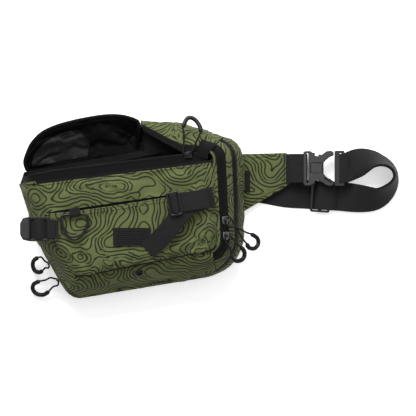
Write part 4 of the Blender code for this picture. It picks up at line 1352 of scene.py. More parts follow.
@dataclass
class SideWalls:
    """The printed strips and the zips round the bag.

    Attributes:
        wall: Their common surface.
        looks: The materials.
    """

    wall: Wall
    looks: Finishes

    def panel(self, name: str, columns: Sequence[float], near: Distance, far: Distance, rows: int,
              slack: float, seed: float, lip: float) -> None:
        """One strip of printed cloth, padded out and creased.

        Args:
            name: Its name, which is also its CAD node's.
            columns: Its columns.
            near: Its first distance from the front seam.
            far: Its last distance.
            rows: How many rows.
            slack: How loose the cloth is.
            seed: Which creases.
            lip: How far it rolls out over the zip below it, in metres.
        """
        grid = self.wall.grid(columns, near, far, rows)
        if columns[0] > RIGHT_TO:
            grid = self.wall.droop(grid, columns)
        turn = turn_of(grid, outward(grid))
        room = hump(rows)[:, None]
        width = np.linalg.norm(grid[-1] - grid[0], axis=1)[None, :]
        roll = np.exp(-((np.linspace(0, 1, rows) - 0.92) / 0.06) ** 2)[:, None]
        swell = room * np.minimum(0.05 * width, 0.0024) + lip * roll * (room > 1e-6)
        rough = ruffles(grid, 0.032, seed) * 0.0011 + ruffles(grid, 0.011, seed + 3) * 0.0004
        grid = grid + turn * grid_normals(grid) * (swell + rough * np.minimum(1, room * 1.6))[..., None]
        grid = settle(grid, rim_of(grid), slack, turn * 1.2, 0.0030)
        looks = (self.looks.cloth, self.looks.lining)
        piece = thick_sheet(name + "_cloth", grid, CLOTH, *looks, towards=outward(grid))
        place(piece, Body.BAG, Slot.PRINT, name)

    def seam_cord(self, name: str, columns: Sequence[float], at: Distance, radius: float) -> None:
        """A rolled seam along the wall.

        Args:
            name: Its name.
            columns: Its columns.
            at: Its distance from the front seam.
            radius: Its radius.
        """
        line = self.wall.grid(columns, at, at, 2)[0]
        place(rod(name, line, radius, self.looks.cloth), Body.BAG, Slot.PRINT)

    def zip_run(self, name: str, columns: Sequence[float], middle: Callable[[float], float]) -> None:
        """A zip: two tapes and the coil between them.

        Args:
            name: Its name, which starts its tapes' CAD nodes.
            columns: Its columns.
            middle: Its middle's distance from the front seam.
        """
        half = ZIP_WIDTH / 2 + 0.0012
        for side, low, high in (("inner", -half, -0.0001), ("outer", 0.0001, half)):
            grid = self.wall.grid(columns, lambda c: middle(c) + low, lambda c: middle(c) + high, 4)
            face = outward(grid)
            grid = grid - facing(grid, face) * 0.0003
            piece = thick_sheet(f"{name}_{side}_tape", grid, 0.0011, self.looks.tape, towards=face)
            place(piece, Body.BAG, Slot.NYLON, f"{name}_{side}")
        line = self.wall.grid(columns, lambda c: middle(c) - 0.001, lambda c: middle(c) + 0.001, 3)
        out = facing(line, outward(line))[1]
        coil = zip_coil(f"{name}_coil", line[1], unit(line[2] - line[0]), out, self.looks.teeth)
        place(coil, Body.BAG, Slot.NYLON)

    def build(self) -> None:
        """Makes every strip, seam and zip of the wall."""
        wall, edge = self.wall, ZIP_WIDTH / 2 + 0.0003
        left = wall.columns(0, RIGHT_FROM - 0.03, 0.0052)
        right = wall.columns(RIGHT_FROM + 0.03, RIGHT_TO - 0.03, 0.0045)
        ring = wall.columns(0, RIGHT_TO - 0.03, 0.0055)
        top = wall.columns(RIGHT_TO + 0.03, LAST_COLUMN, 0.0045)
        for name, *row in (
            ("gusset_left_bottom", left, 0.0, lambda c: rear_zip_at(c) - edge, 16, 0.035, 1.0, 0.0024),
            ("gusset_right_front", right, 0.0, FRONT_ZIP - edge, 4, 0.02, 2.0, 0.0),
            ("gusset_right_middle", right, FRONT_ZIP + edge, lambda c: rear_zip_at(c) - edge, 4, 0.02, 3, 0),
            ("gusset_back_strip", ring, lambda c: rear_zip_at(c) + edge, wall.length, 8, 0.03, 4.0, 0.0),
            ("top_gusset", top, 0.0, wall.length, 14, 0.04, 5.0, 0.0),
        ):
            self.panel(name, *row)
        self.zip_run("front_zip_tape", right, lambda c: FRONT_ZIP)
        self.zip_run("rear_zip_tape", ring, rear_zip_at)
        self.seam_cord("front_seam_roll", wall.columns(0, RIGHT_TO, 0.004), 0.0006, 0.0008)
        # Painted shade: a thin dark rod along the pocket's bottom seam stands in for the shade in its crease
        low = wall.columns(2 * PER_CORNER - 3, 3 * PER_CORNER - 2, 0.004)
        crease = wall.grid(low, 0.0012, 0.0012, 2)[0] + [0, 0, 0.0007]
        place(rod("pocket_seam_shade_line", crease, 0.0007, self.looks.thread), Body.BAG, Slot.NYLON)
        back = wall.columns(0, LAST_COLUMN, 0.005)
        self.seam_cord("back_seam_roll", back, lambda c: wall.length(c) - 0.0004, 0.0013)


@dataclass
class Front:
    """The front face: the panel by the mouth, the slip pocket and its slot.

    Attributes:
        wall: The side wall whose seam it is sewn into.
        looks: The materials.
    """

    wall: Wall
    looks: Finishes

    def seam_between(self, start: float, end: float, count: int) -> Grid:
        """A number of points of the front seam between two columns."""
        return spread([self.wall.front_at(c) for c in np.linspace(start, end, 80)], count)

    def slot_column(self, start: float, end: float) -> float:
        """The column where the pocket's slot meets the front seam.

        Args:
            start: First column to look at.
            end: Last column to look at.

        Returns:
            The column.
        """
        columns = np.linspace(start, end, 300)
        rise = (SLOT_RIGHT[1] - SLOT_LEFT[1]) / (SLOT_RIGHT[0] - SLOT_LEFT[0])
        spots = np.array([self.wall.front_at(c) for c in columns])
        off = np.abs(spots[:, 1] - SLOT_LEFT[1] - rise * (spots[:, 0] - SLOT_LEFT[0]))
        return float(columns[int(np.argmin(off))])

    def build(self) -> None:
        """Makes both panels, the slot's hem and the seams."""
        left, right = self.slot_column(0, 13), self.slot_column(22, 31)
        low_left, low_right = 2 * PER_CORNER - 2.5, 3 * PER_CORNER - 2.5
        columns, rows = 56, 26
        slot = np.linspace(self.wall.front_at(left), self.wall.front_at(right), columns)
        corner = (*RIM_RIGHT, FRONT_Z)
        rim = np.linspace((*FRONT_SEAM[0][:2], FRONT_Z), corner, columns)
        right_side = np.vstack([self.seam_between(right, 4 * PER_CORNER - CORNER_STEPS - 0.4, 20), [corner]])
        upper = patch(slot, rim, self.seam_between(left, 0, 18), spread(right_side, 18))
        # The cloth ends below the zip's tape, after nine tenths of its rows
        at = np.linspace(0, 0.90 * (len(upper) - 1), len(upper))
        before, share = at.astype(int), (at % 1)[:, None, None]
        self.upper_panel(upper[before] * (1 - share) + upper[before + 1] * share)
        sides = (self.seam_between(low, high, rows) for low, high in ((low_left, left), (low_right, right)))
        self.pocket_panel(patch(self.seam_between(low_left, low_right, columns), slot, *sides))

    def sew(self, name: str, grid: Grid, node: str, stitching: str, row: int) -> None:
        """Lays a printed panel and the stitches along one of its rows.

        Args:
            name: The panel's name.
            grid: Its points.
            node: The CAD node it stands for.
            stitching: Name of the stitches.
            row: Their row.
        """
        place(thick_sheet(name, grid, CLOTH, self.looks.cloth, self.looks.lining), Body.BAG, Slot.PRINT, node)
        place(stitches(stitching, grid[row] + [0, 0, 0.0002], self.looks.thread), Body.BAG, Slot.NYLON)

    def upper_panel(self, grid: Grid) -> None:
        """The panel between the slot and the mouth.

        Args:
            grid: Its points at the seams' level.
        """
        share = np.clip(edge_distance(grid, np.vstack([grid[-1], grid[:, 0], grid[:, -1]])) / 0.012, 0, 1)
        grid[..., 2] += 0.0008 + 0.0026 * share * (2 - share)
        grid[..., 2] += ruffles(grid, 0.040, 7.0) * 0.0012 * share
        grid = settle(grid, rim_of(grid), 0.03, 0.8, 0.0024)
        folds = [(0.079, 0.068, 0.0835, 0.037), (-0.100, 0.040, -0.055, 0.030), (0.010, 0.046, 0.060, 0.058),
                 (-0.118, 0.036, -0.104, 0.008), (-0.040, 0.040, -0.010, 0.024)]
        grid = creased(grid, folds, 0.0019, 0.0045)
        grid[..., 2] = np.maximum(grid[..., 2], FRONT_Z + 0.0008)
        self.sew("front_upper_cloth", grid, "front_upper_panel", "rim_stitches", -2)

    def pocket_panel(self, grid: Grid) -> None:
        """The slip pocket, which stands off the bag and gapes at its slot.

        Args:
            grid: Its points at the seams' level.
        """
        rows, columns = grid.shape[:2]
        away = edge_distance(grid, grid[0])
        beside = edge_distance(grid, np.vstack([grid[:, 0], grid[:, -1]]))
        low, side = np.clip(away / 0.019, 0, 1), np.clip(beside / 0.010, 0, 1)
        along = along_of(grid[0])
        pucker = np.sin(2 * math.pi * along / 0.0150 + 2.2 * np.sin(along * 61))[None, :]
        grid[..., 2] += 0.0006 + 0.0084 * np.sqrt(low * (2 - low) * side * (2 - side))
        grid[..., 2] += pucker * 0.0012 * np.exp(-((away - 0.009) / 0.006) ** 2) * (away > 0.0005)
        over = 0.0034 * np.exp(-((away - 0.0045) / 0.0032) ** 2) * np.clip(beside / 0.02, 0, 1)
        grid[..., :2] += over[..., None] * np.array([0.196, -0.98])
        open_by = (hump(columns) ** 0.6 * np.linspace(1.0, 0.35, columns))[None, :]
        lip = np.clip((np.arange(rows) - rows + 5) / 4, 0, 1)[:, None]
        grid[..., 1] -= lip * (0.0017 + 0.0040 * open_by)
        grid[..., 2] += lip * open_by * 0.0012
        held = rim_of(grid)
        held[-2] = True
        grid = settle(grid, held, 0.03, 0.8, 0.0026)
        folds = [(0.0560, -0.0520, 0.0990, -0.0317), (-0.0100, -0.0560, 0.0220, -0.0580),
                 (-0.0700, -0.0380, -0.0680, -0.0720), (-0.1060, -0.0290, -0.0680, -0.0400),
                 (0.0660, 0.0050, 0.0740, -0.0290), (-0.0450, -0.0480, -0.0200, -0.0640),
                 (0.0277, -0.0554, 0.0700, -0.0500), (0.0700, -0.0500, 0.0780, -0.0350),
                 (0.0720, -0.0230, 0.0960, -0.0400), (-0.0040, -0.0500, 0.0070, -0.0640)]
        grid = creased(grid, folds, 0.0027, 0.0046)
        flat = np.full((rows, columns), POCKET_TOP + 0.0026)
        for x, y, reach in ((-0.005, -0.028, 0.032), (0.050, 0.000, 0.034), (0.090, 0.021, 0.022),
                            (-0.115, -0.018, 0.030), (-0.076, -0.012, 0.026), (0.030, -0.030, 0.02)):
            near = np.linalg.norm(grid[..., :2] - [x, y], axis=-1)
            flat = np.minimum(flat, POCKET_TOP + np.clip((near - reach) * 0.25, 0.0001, 0.0026))
        grid[..., 2] = np.minimum(grid[..., 2], flat)
        self.sew("front_pocket_cloth", grid, "front_pocket_panel", "pocket_hem_stitches", -3)
        place(rod("pocket_hem", grid[-1] - [0, 0, 0.0008], 0.0012, self.looks.cloth), Body.BAG, Slot.PRINT)


@dataclass
class Mouth:
    """The open mouth: the zip along its rim, the folded-out flap and what lines it.

    Attributes:
        wall: The side wall.
        looks: The materials.
    """

    wall: Wall
    looks: Finishes

    def __post_init__(self) -> None:
        """Finds the flap's own axes: along its hinge, level and tilted across it, and off its face."""
        left, right = np.array([*FLAP_LEFT, 0.0]), np.array([*FLAP_RIGHT, 0.0])
        self.start, self.length = left + [0, 0, BACK_Z + CLEAR], float(np.linalg.norm(right - left))
        self.along = unit(right - left)
        self.level = np.array([-self.along[1], self.along[0], 0.0])
        self.out = self.level * math.cos(FLAP_TILT) + UP * math.sin(FLAP_TILT)
        self.off = np.cross(self.along, self.out)

    def flap_point(self, flat: Grid, lift: np.ndarray) -> Grid:
        """Points on the flap from their places along and across its hinge and their heights off it."""
        spots = self.start + self.along * flat[..., :1] + self.out * flat[..., 1:2]
        return spots + self.off * lift[..., None]

    def flap_grid(self, height: float, shrink: float, rows: int = 16, columns: int = 64) -> Grid:
        """Points of the flap's bowl.

        Args:
            height: How far off the shell's outer face.
            shrink: Share left out at its rim.
            rows: Rows from the hinge to the rim.
            columns: Columns along the rim.

        Returns:
            Rows by columns by three.
        """
        line = [(0.0, 0.002), (-0.0005, 0.0150), (0.0056, 0.0283), (0.0144, 0.0405), (0.0295, 0.0514),
                (0.0490, 0.0571), (0.0728, 0.0596), (0.0984, 0.0601), (0.1189, 0.0588), (0.1365, 0.0547),
                (0.1515, 0.0470), (self.length + 0.0078, 0.0400), (self.length + 0.0045, 0.0200),
                (self.length, 0.002)]
        rim = spread(smooth_route(line, 0.001), columns)
        share = np.linspace(0, 1, columns)
        foot = np.stack([self.length * (0.5 - 0.5 * np.cos(np.pi * share)), np.full(columns, 0.001)], axis=1)
        s = np.linspace(0, 1, rows)[:, None]
        reach = s[..., None]
        flat = foot[None] * (1 - reach) + rim[None] * reach * (1 - shrink) + foot[None] * (reach * shrink)
        taper = np.clip(flat[..., 1] / 0.024, 0, 1)
        bowl = 0.0085 * s**3 * taper - 0.0050 * np.sin(math.pi * s) ** 2 * np.sin(math.pi * share)[None, :]
        return self.flap_point(flat, bowl + height)

    def build(self) -> None:
        """Makes the flap, its lining and pocket, the rim's tape, the end tab and the back's lining."""
        self.flap()
        self.rim()
        self.inside()

    def flap(self) -> None:
        """The flap's shell, lining, pocket and bound rim."""
        looks, off = self.looks, self.off
        grid = self.flap_grid(0.0020, 0.0)
        shell = thick_sheet("flap_cloth", grid, 0.0018, looks.lining, looks.cloth, towards=off)
        place(shell, Body.FLAP, Slot.PRINT, "flap_shell")
        lining = self.flap_grid(0.0040, 0.03, 30, 96)
        folds = ruffles(lining, 0.045, 11.0) * 0.0030 + ruffles(lining, 0.018, 5.0) * 0.0007
        lining += off * (folds * hump(30)[:, None])[..., None]
        lining = settle(lining, rim_of(lining), 0.02, 0.3, 0.0030)
        rise = (lining - self.flap_grid(0.0026, 0.03, 30, 96)) @ off
        lining = lining + off * (np.maximum(rise, 0.0004) - rise)[..., None]
        inner = thick_sheet("flap_lining_cloth", lining, LINING, looks.lining, towards=off)
        place(inner, Body.FLAP, Slot.NYLON, "flap_lining")
        self.flap_pocket(lining)
        self.hinge_fold()
        wide = self.flap_grid(0.0046, 0.0, 40, 110)
        rim = wide[:, :93]
        edge = rim[-1]
        tape = thick_sheet("flap_tape", rim[34:], 0.0011, looks.tape, towards=off)
        place(tape, Body.FLAP, Slot.NYLON, "flap_zip_tape")
        place(rod("flap_binding", edge - off * 0.0012, 0.0021, looks.tape, 10), Body.FLAP, Slot.NYLON)
        self.corner_web(wide[:, -1], edge[-1])
        teeth = zip_coil("flap_teeth", rim[-2], unit(edge - rim[-4]), off, looks.teeth)
        place(teeth, Body.FLAP, Slot.NYLON)

    def hinge_fold(self) -> None:
        """The lining that runs from the back into the flap across its fold."""
        u = np.linspace(-0.001, self.length + 0.007, 70)
        rows = []
        for v in np.linspace(-0.0145, 0.011, 16):
            lie = self.level * v + [0, 0, 0.0036] if v < 0 else self.out * v + self.off * (0.0044 - 0.16 * v)
            rows.append(self.start + self.along * u[:, None] + lie)
        grid = np.array(rows)
        grid[..., 2] += ruffles(grid, 0.022, 9.0) * 0.0006
        give(thick_sheet("hinge_lining", grid, LINING, self.looks.lining), Body.BAG, Body.FLAP)

    def corner_web(self, side: Grid, corner: np.ndarray) -> None:
        """The soft corner between the flap's right side and the top gusset.

        Args:
            side: Points up the flap's right side.
            corner: Where the flap's rim ends.
        """
        rows, columns = 22, 9
        edge = np.array([(0.0088, 0.0880, 0.0126), (0.0098, 0.0970, 0.0150), (0.0108, 0.1060, 0.0205),
                         (0.0118, 0.1128, 0.0262)])
        left = spread(np.vstack([side[4:-4], [corner]]), rows) + [-0.0012, 0, -0.0010]
        right = spread(edge, rows)
        grid = between(left, right, columns)
        grid[..., 2] -= 0.0016 * hump(columns)[None, :]
        line = spread([corner, grid[-1, columns // 2] + [0, 0.0006, 0.0012], edge[-1]], columns)
        curve = spread(self.wall.profile(LAST_COLUMN), 7) + [0.0012, 0.0004, 0.0004]
        outer = between(spread([corner, corner + [0.0004, 0.0012, -0.011]], 7), curve, columns)
        web = thick_sheet("corner_web", grid, 0.0012, self.looks.lining)
        binding = rod("corner_binding", line - [0, 0, 0.0008], 0.0021, self.looks.tape, 10)
        cover = thick_sheet("corner_cloth", outer, 0.0010, self.looks.cloth, towards=(0.0, 1.0, 0.4))
        for thing, slot in ((web, Slot.NYLON), (binding, Slot.NYLON), (cover, Slot.PRINT)):
            give(thing, Body.BAG, Body.FLAP)

    def flap_pocket(self, lining: Grid) -> None:
        """The slip pocket on the flap's lining, with its rolled hem.

        Args:
            lining: The lining it lies on.
        """
        rows, columns = 22, 34
        left = smooth_route([(0.008, 0.006), (0.010, 0.0150), (0.015, 0.0235)], 0.001)
        right = smooth_route([(0.083, 0.006), (0.0865, 0.0210), (0.0820, 0.0370), (0.0720, 0.0450)], 0.001)
        high = smooth_route([left[-1], (0.0290, 0.0350), (0.0500, 0.0435), right[-1]], 0.001)
        low = spread([left[0], right[0]], columns)
        flat = level_patch(0.0, low, spread(high, columns), spread(left, rows), spread(right, rows))
        puff = hump(rows)[:, None] * hump(columns)[None, :]
        axes = (self.along, self.out, self.off)
        spots = np.stack([(lining - self.start) @ axis for axis in axes], axis=-1).reshape(-1, 3)
        gap = np.linalg.norm(flat[:, :, None, :2] - spots[None, None, :, :2], axis=-1)
        base = spots[np.argsort(gap, axis=-1)[..., :5], 2].max(-1)
        lift = base + 0.0016 + puff * (0.0022 + ruffles(flat, 0.026, 4.0) * 0.0016)
        grid = self.flap_point(flat, lift)
        piece = thick_sheet("flap_pocket_cloth", grid, LINING, self.looks.pocket, towards=self.off)
        place(piece, Body.FLAP, Slot.NYLON, "interior_pocket")
        place(rod("flap_pocket_hem", grid[:, -1], 0.0013, self.looks.tape), Body.FLAP, Slot.NYLON)

    def rim(self) -> None:
        """The zip's half along the front rim, its tape on the top gusset's edge, and the end tab."""
        looks = self.looks
        start, end = np.array([*FRONT_SEAM[0][:2], FRONT_Z]), np.array([*RIM_RIGHT, FRONT_Z])
        ahead = unit(end - start)
        out = np.array([-ahead[1], ahead[0], 0.0])
        straight = [start + ahead * (x - start[0]) / ahead[0] for x in np.linspace(0.0945, -0.112, 48)]
        curve = self.wall.profile(0)
        spots = np.vstack([straight, read_along(curve, np.linspace(0.001, 0.030, 10), along_of(curve))])
        widths = np.interp(np.arange(len(spots)), [46, 51], [RIM_TAPE + 0.0005, 0.0060])[:, None]
        rows = [spots - out * under for under in (0.0052, 0.0025)]
        rows += [spots + out * (0.0003 + widths * s) for s in np.linspace(0, 1, 5)]
        ups = unit(np.cross(np.gradient(spots, axis=0), -out))
        ups = ups * np.where((ups[:, 2] - 0.5 * ups[:, 0]) < 0, -1, 1)[:, None]
        grid = np.stack(rows) - ups[None] * 0.0003
        place(thick_sheet("rim_tape", grid, 0.0012, looks.tape), Body.BAG, Slot.NYLON, "main_zip_tape_front")
        place(zip_coil("rim_teeth", grid[-1], out, ups, looks.teeth), Body.BAG, Slot.NYLON)
        tab = self.wall.grid(np.linspace(RIGHT_TO - 0.3, RIGHT_TO + 1.4, 14), 0.0, 0.016, 8)
        face = outward(tab)
        tab = tab + facing(tab, face) * 0.0030
        hang = [tab[0] + [-0.06 * d, -d, 0.0002] for d in (0.0092, 0.0060, 0.0030)]
        piece = thick_sheet("zip_end_tab", np.concatenate([hang, tab]), 0.0014, looks.tape, towards=face)
        place(piece, Body.BAG, Slot.NYLON, "main_zip_end_tab")
        self.gusset_tape(RIGHT_TO + 1.5)

    def gusset_tape(self, start: float) -> None:
        """The other half of the zip along the edge of the top gusset.

        Args:
            start: The wall's column where it starts.
        """
        columns = np.linspace(start, LAST_COLUMN, 40)
        grid = self.wall.grid(columns, 0.0, lambda c: min(0.0070, 0.9 * self.wall.length(c)), 5)
        grid = self.wall.droop(grid, columns)
        face = outward(grid)
        out = facing(grid, face)
        grid = grid + out * 0.0022
        tape = thick_sheet("gusset_edge_tape", grid, 0.0012, self.looks.tape, towards=face)
        place(tape, Body.BAG, Slot.NYLON)
        teeth = zip_coil("gusset_edge_teeth", grid[0], unit(grid[1] - grid[0]), out[0], self.looks.teeth)
        place(teeth, Body.BAG, Slot.NYLON)

    def inside(self) -> None:
        """The net pocket in the bag and the loose lining that lies in folds on the stiff back."""
        rows, columns = 18, 26
        corners = np.array([(-0.066, -0.050), (0.060, -0.046), (-0.066, 0.062), (0.036, 0.082)])
        sides = ((0, 1, columns), (2, 3, columns), (0, 2, rows), (1, 3, rows))
        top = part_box("mesh_pocket")[1][2]
        net = level_patch(top, *(spread(corners[[a, b]], count) for a, b, count in sides))
        net[..., 2] += ruffles(net, 0.03, 2.0) * 0.0012
        place(thick_sheet("net_pocket", net, 0.0007, self.looks.net), Body.BAG, Slot.MESH, "mesh_pocket")
        place(rod("net_pocket_hem", net[-1], 0.0018, self.looks.tape), Body.BAG, Slot.NYLON)
        rows, columns = 34, 60
        high = [(-0.139, 0.0470), (-0.060, 0.0618), (0.0040, 0.0735), (0.0120, 0.0800), (0.0145, 0.1110),
                (0.060, 0.1090), (0.1180, 0.0900)]
        low = [(-0.118, -0.010), (0.126, -0.040)]
        grid = level_patch(BACK_Z + 0.0014, spread(low, columns), spread(high, columns),
                           spread([low[0], high[0]], rows), spread([low[-1], high[-1]], rows))
        grid[..., 2] += 0.0009 + ruffles(grid, 0.030, 8.0) * 0.0011 + ruffles(grid, 0.011, 3.0) * 0.0004
        sheet = thick_sheet("back_lining_cloth", grid, LINING, self.looks.lining)
        place(sheet, Body.BAG, Slot.NYLON, "back_lining")


@dataclass(frozen=True)
class Pull:
    """A slider and the cord loop on it.

    Attributes:
        name: Start of its bodies' names.
        spot: The slider's place on the tape.
        along: Direction of the zip.
        up: The tape's face direction.
        eye: Middle of the slider's eye.
        axis: Axis of the eye's hole.
        first_leg: The cord's points from the sleeve's start to the eye.
        sleeve: The moulded sleeve's points.
        second_leg: The cord's points from the eye to the sleeve's end.
    """

    name: str
    spot: Point
    along: Point
    up: Point
    eye: Point
    axis: Point
    first_leg: tuple[Point, ...]
    sleeve: tuple[Point, ...]
    second_leg: tuple[Point, ...]


PULLS = (
    Pull("main",
         (0.07032, 0.07808, 0.0755), (0.99257, 0.12166, 0.0), (0.0, 0.0, 1.0),
         (0.07032, 0.07808, 0.08108), (0.98894, 0.14834, 0.0),
         ((0.0645, 0.1085, 0.0785), (0.0655, 0.0995, 0.0800)),
         ((0.0635, 0.1140, 0.0770), (0.0690, 0.1250, 0.0740), (0.0750, 0.1265, 0.0735),
          (0.0815, 0.1220, 0.0745), (0.0865, 0.1135, 0.0770), (0.0870, 0.1075, 0.0785)),
         ((0.0840, 0.1010, 0.0800),)),
    Pull("front_zip_upper",
         (0.11744, -0.00687, 0.07223), (-0.04526, 0.99897, 0.0014), (0.53702, 0.02318, 0.84325),
         (0.12044, -0.00674, 0.07694), (-0.42723, -0.85447, 0.29557),
         ((0.146, -0.0225, 0.0700), (0.136, -0.0175, 0.0765)),
         ((0.1525, -0.0245, 0.0650), (0.1605, -0.0300, 0.0590), (0.1620, -0.0375, 0.0570),
          (0.1570, -0.0435, 0.0600), (0.1500, -0.0425, 0.0650), (0.1468, -0.0370, 0.0680)),
         ((0.1410, -0.0300, 0.0725),)),
    Pull("front_zip_lower",
         (0.11829, -0.02684, 0.07223), (-0.05227, 0.9983, 0.0257), (0.55166, 0.00741, 0.83404),
         (0.12137, -0.02679, 0.07689), (-0.76846, -0.38423, 0.5117),
         ((0.1345, -0.0380, 0.0730),),
         ((0.1395, -0.0415, 0.0690), (0.1440, -0.0485, 0.0640), (0.1425, -0.0565, 0.0630),
          (0.1355, -0.0600, 0.0670), (0.1290, -0.0575, 0.0710), (0.1265, -0.0510, 0.0740)),
         ((0.1248, -0.0430, 0.0775),)),
    Pull("rear_zip_upper",
         (-0.1083, -0.06062, 0.02704), (0.49614, -0.8681, -0.016), (-0.86491, -0.49576, 0.07844),
         (-0.11313, -0.06339, 0.02748), (-0.49908, 0.86606, -0.02936),
         ((-0.1225, -0.0555, 0.0200),),
         ((-0.1275, -0.0560, 0.0160), (-0.1330, -0.0600, 0.0110), (-0.1345, -0.0660, 0.0090),
          (-0.1320, -0.0730, 0.0085), (-0.1260, -0.0755, 0.0110), (-0.1215, -0.0735, 0.0150)),
         ((-0.1175, -0.0695, 0.0195),)),
    Pull("rear_zip_lower",
         (-0.09571, -0.0824, 0.02819), (0.50236, -0.85833, 0.10439), (-0.86443, -0.4956, 0.08454),
         (-0.10053, -0.08517, 0.02866), (-0.49605, 0.81336, -0.30393),
         ((-0.1175, -0.0855, 0.0180), (-0.1110, -0.0825, 0.0225)),
         ((-0.1250, -0.0870, 0.0140), (-0.1330, -0.0910, 0.0090), (-0.1345, -0.0980, 0.0075),
          (-0.1290, -0.1040, 0.0070), (-0.1200, -0.1050, 0.0085), (-0.1130, -0.1005, 0.0130)),
         ((-0.1075, -0.0945, 0.0185),)),
)


@dataclass
class ZipPulls:
    """Sliders, cord loops and moulded sleeves.

    Attributes:
        looks: The materials.
    """

    looks: Finishes

    def build(self) -> None:
        """Makes every slider and its pull."""
        for pull in PULLS:
            self.slider(pull)
            self.loop(pull)

    def slider(self, pull: Pull) -> None:
        """A slider with flared wings, side walls and an arched eye.

        Args:
            pull: Which one.
        """
        along, up = Vector(pull.along).normalized(), Vector(pull.up).normalized()
        turn = Matrix((along, up.cross(along), up)).transposed().to_4x4()
        turn.translation = pull.spot
        half = [(-0.0050, 0.0030), (-0.0022, 0.00425), (0.0050, 0.00425)]
        outline = rounded(mirrored(half), 0.0010)
        metal = self.looks.plastic if pull.name == "main" else self.looks.nickel
        plates = [moulding(f"{pull.name}_slider_{label}", outline, low, high, 0.0005, metal)
                  for label, low, high in (("top", 0.0015, 0.0030), ("under", -0.0030, -0.0015))]
        eye = turn.inverted() @ Vector(pull.eye)
        axis = (turn.to_3x3().inverted() @ Vector(pull.axis)).normalized()
        side = axis.cross(Vector((0, 0, 1))).normalized()
        arc = np.array([eye + (side * x + axis.cross(side) * y) * 0.0026 for x, y in circle(24)])
        ring = rod(f"{pull.name}_slider_eye", arc, 0.0006, metal, closed=True)
        body = f"{pull.name}_slider"
        place_all((*plates, ring), turn, body, Slot.NICKEL, body)

    def loop(self, pull: Pull) -> None:
        """The cord through the eye and the sleeve on its ends.

        Args:
            pull: Which one.
        """
        body = f"{pull.name}_pull"
        eye, axis = np.array(pull.eye), np.array(pull.axis)
        towards = (np.array(pull.sleeve[0]) + np.array(pull.sleeve[-1])) / 2 - eye
        towards = unit(towards - axis * (towards @ axis))
        beside = axis * (0.0052 if (np.array(pull.first_leg[-1]) - eye) @ axis > 0 else -0.0052)
        bow = [eye + beside + towards * 0.0042, eye, eye - beside + towards * 0.0042]
        sleeve = smooth_route(pull.sleeve, 0.0011)
        route = smooth_route([sleeve[0], *pull.first_leg, *bow, *pull.second_leg, sleeve[-1]], 0.0012)
        length = float(along_of(route)[-1])
        braid = 0.0012 * (1 + 0.05 * np.sin(np.linspace(0, length, len(route)) * 2 * math.pi / 0.0024))
        cord = rod(f"{pull.name}_cord", route, braid, self.looks.cord, 12)
        place(cord, body, Slot.NYLON, f"{pull.name}_pull_cord")
        share = np.linspace(0, 1, len(sleeve))
        end = np.minimum(share, 1 - share)
        radii = 0.0029 * np.clip(end / 0.035, 0.3, 1) ** 0.5
        radii = radii + np.where((end > 0.05) & (end < 0.16), 0.00016 * np.sin(end * 340), 0)
        grip = rod(f"{pull.name}_sleeve", sleeve, radii, self.looks.rubber, 16)
        place(grip, body, Slot.SLEEVE, f"{pull.name}_pull_sleeve")
        LOG.info("%s cord is %.0f mm long", pull.name, length * 1000)


def tri_glide(name: str, half: tuple[float, float], slot: Point, thick: float, turn: Matrix,
              material: Material, body: Body, node: str) -> None:
    """A three-bar slide with two slots and a raised middle bar.

    Args:
        name: The object's name.
        half: Half its length and width.
        slot: A slot's place along it, half its length and half its width.
        thick: Its thickness.
        turn: Its place.
        material: Its material.
        body: The body it moves with.
        node: The CAD node it stands for.
    """
    at, reach, wide = slot
    slots = [box((s * at - reach, -wide), (s * at + reach, wide), 0.0012) for s in (-1, 1)]
    base = moulding(name, box((-half[0], -half[1]), half, 0.0028), 0, thick, 0.0009, material, slots)
    line = even([(0, -wide, thick), (0, wide, thick)], 0.002)
    bar = rod(name + "_bar", line, max(0.0009, at - reach - 0.0002), material, 10)
    place_all((base, bar), turn, body, Slot.ACETAL, node)


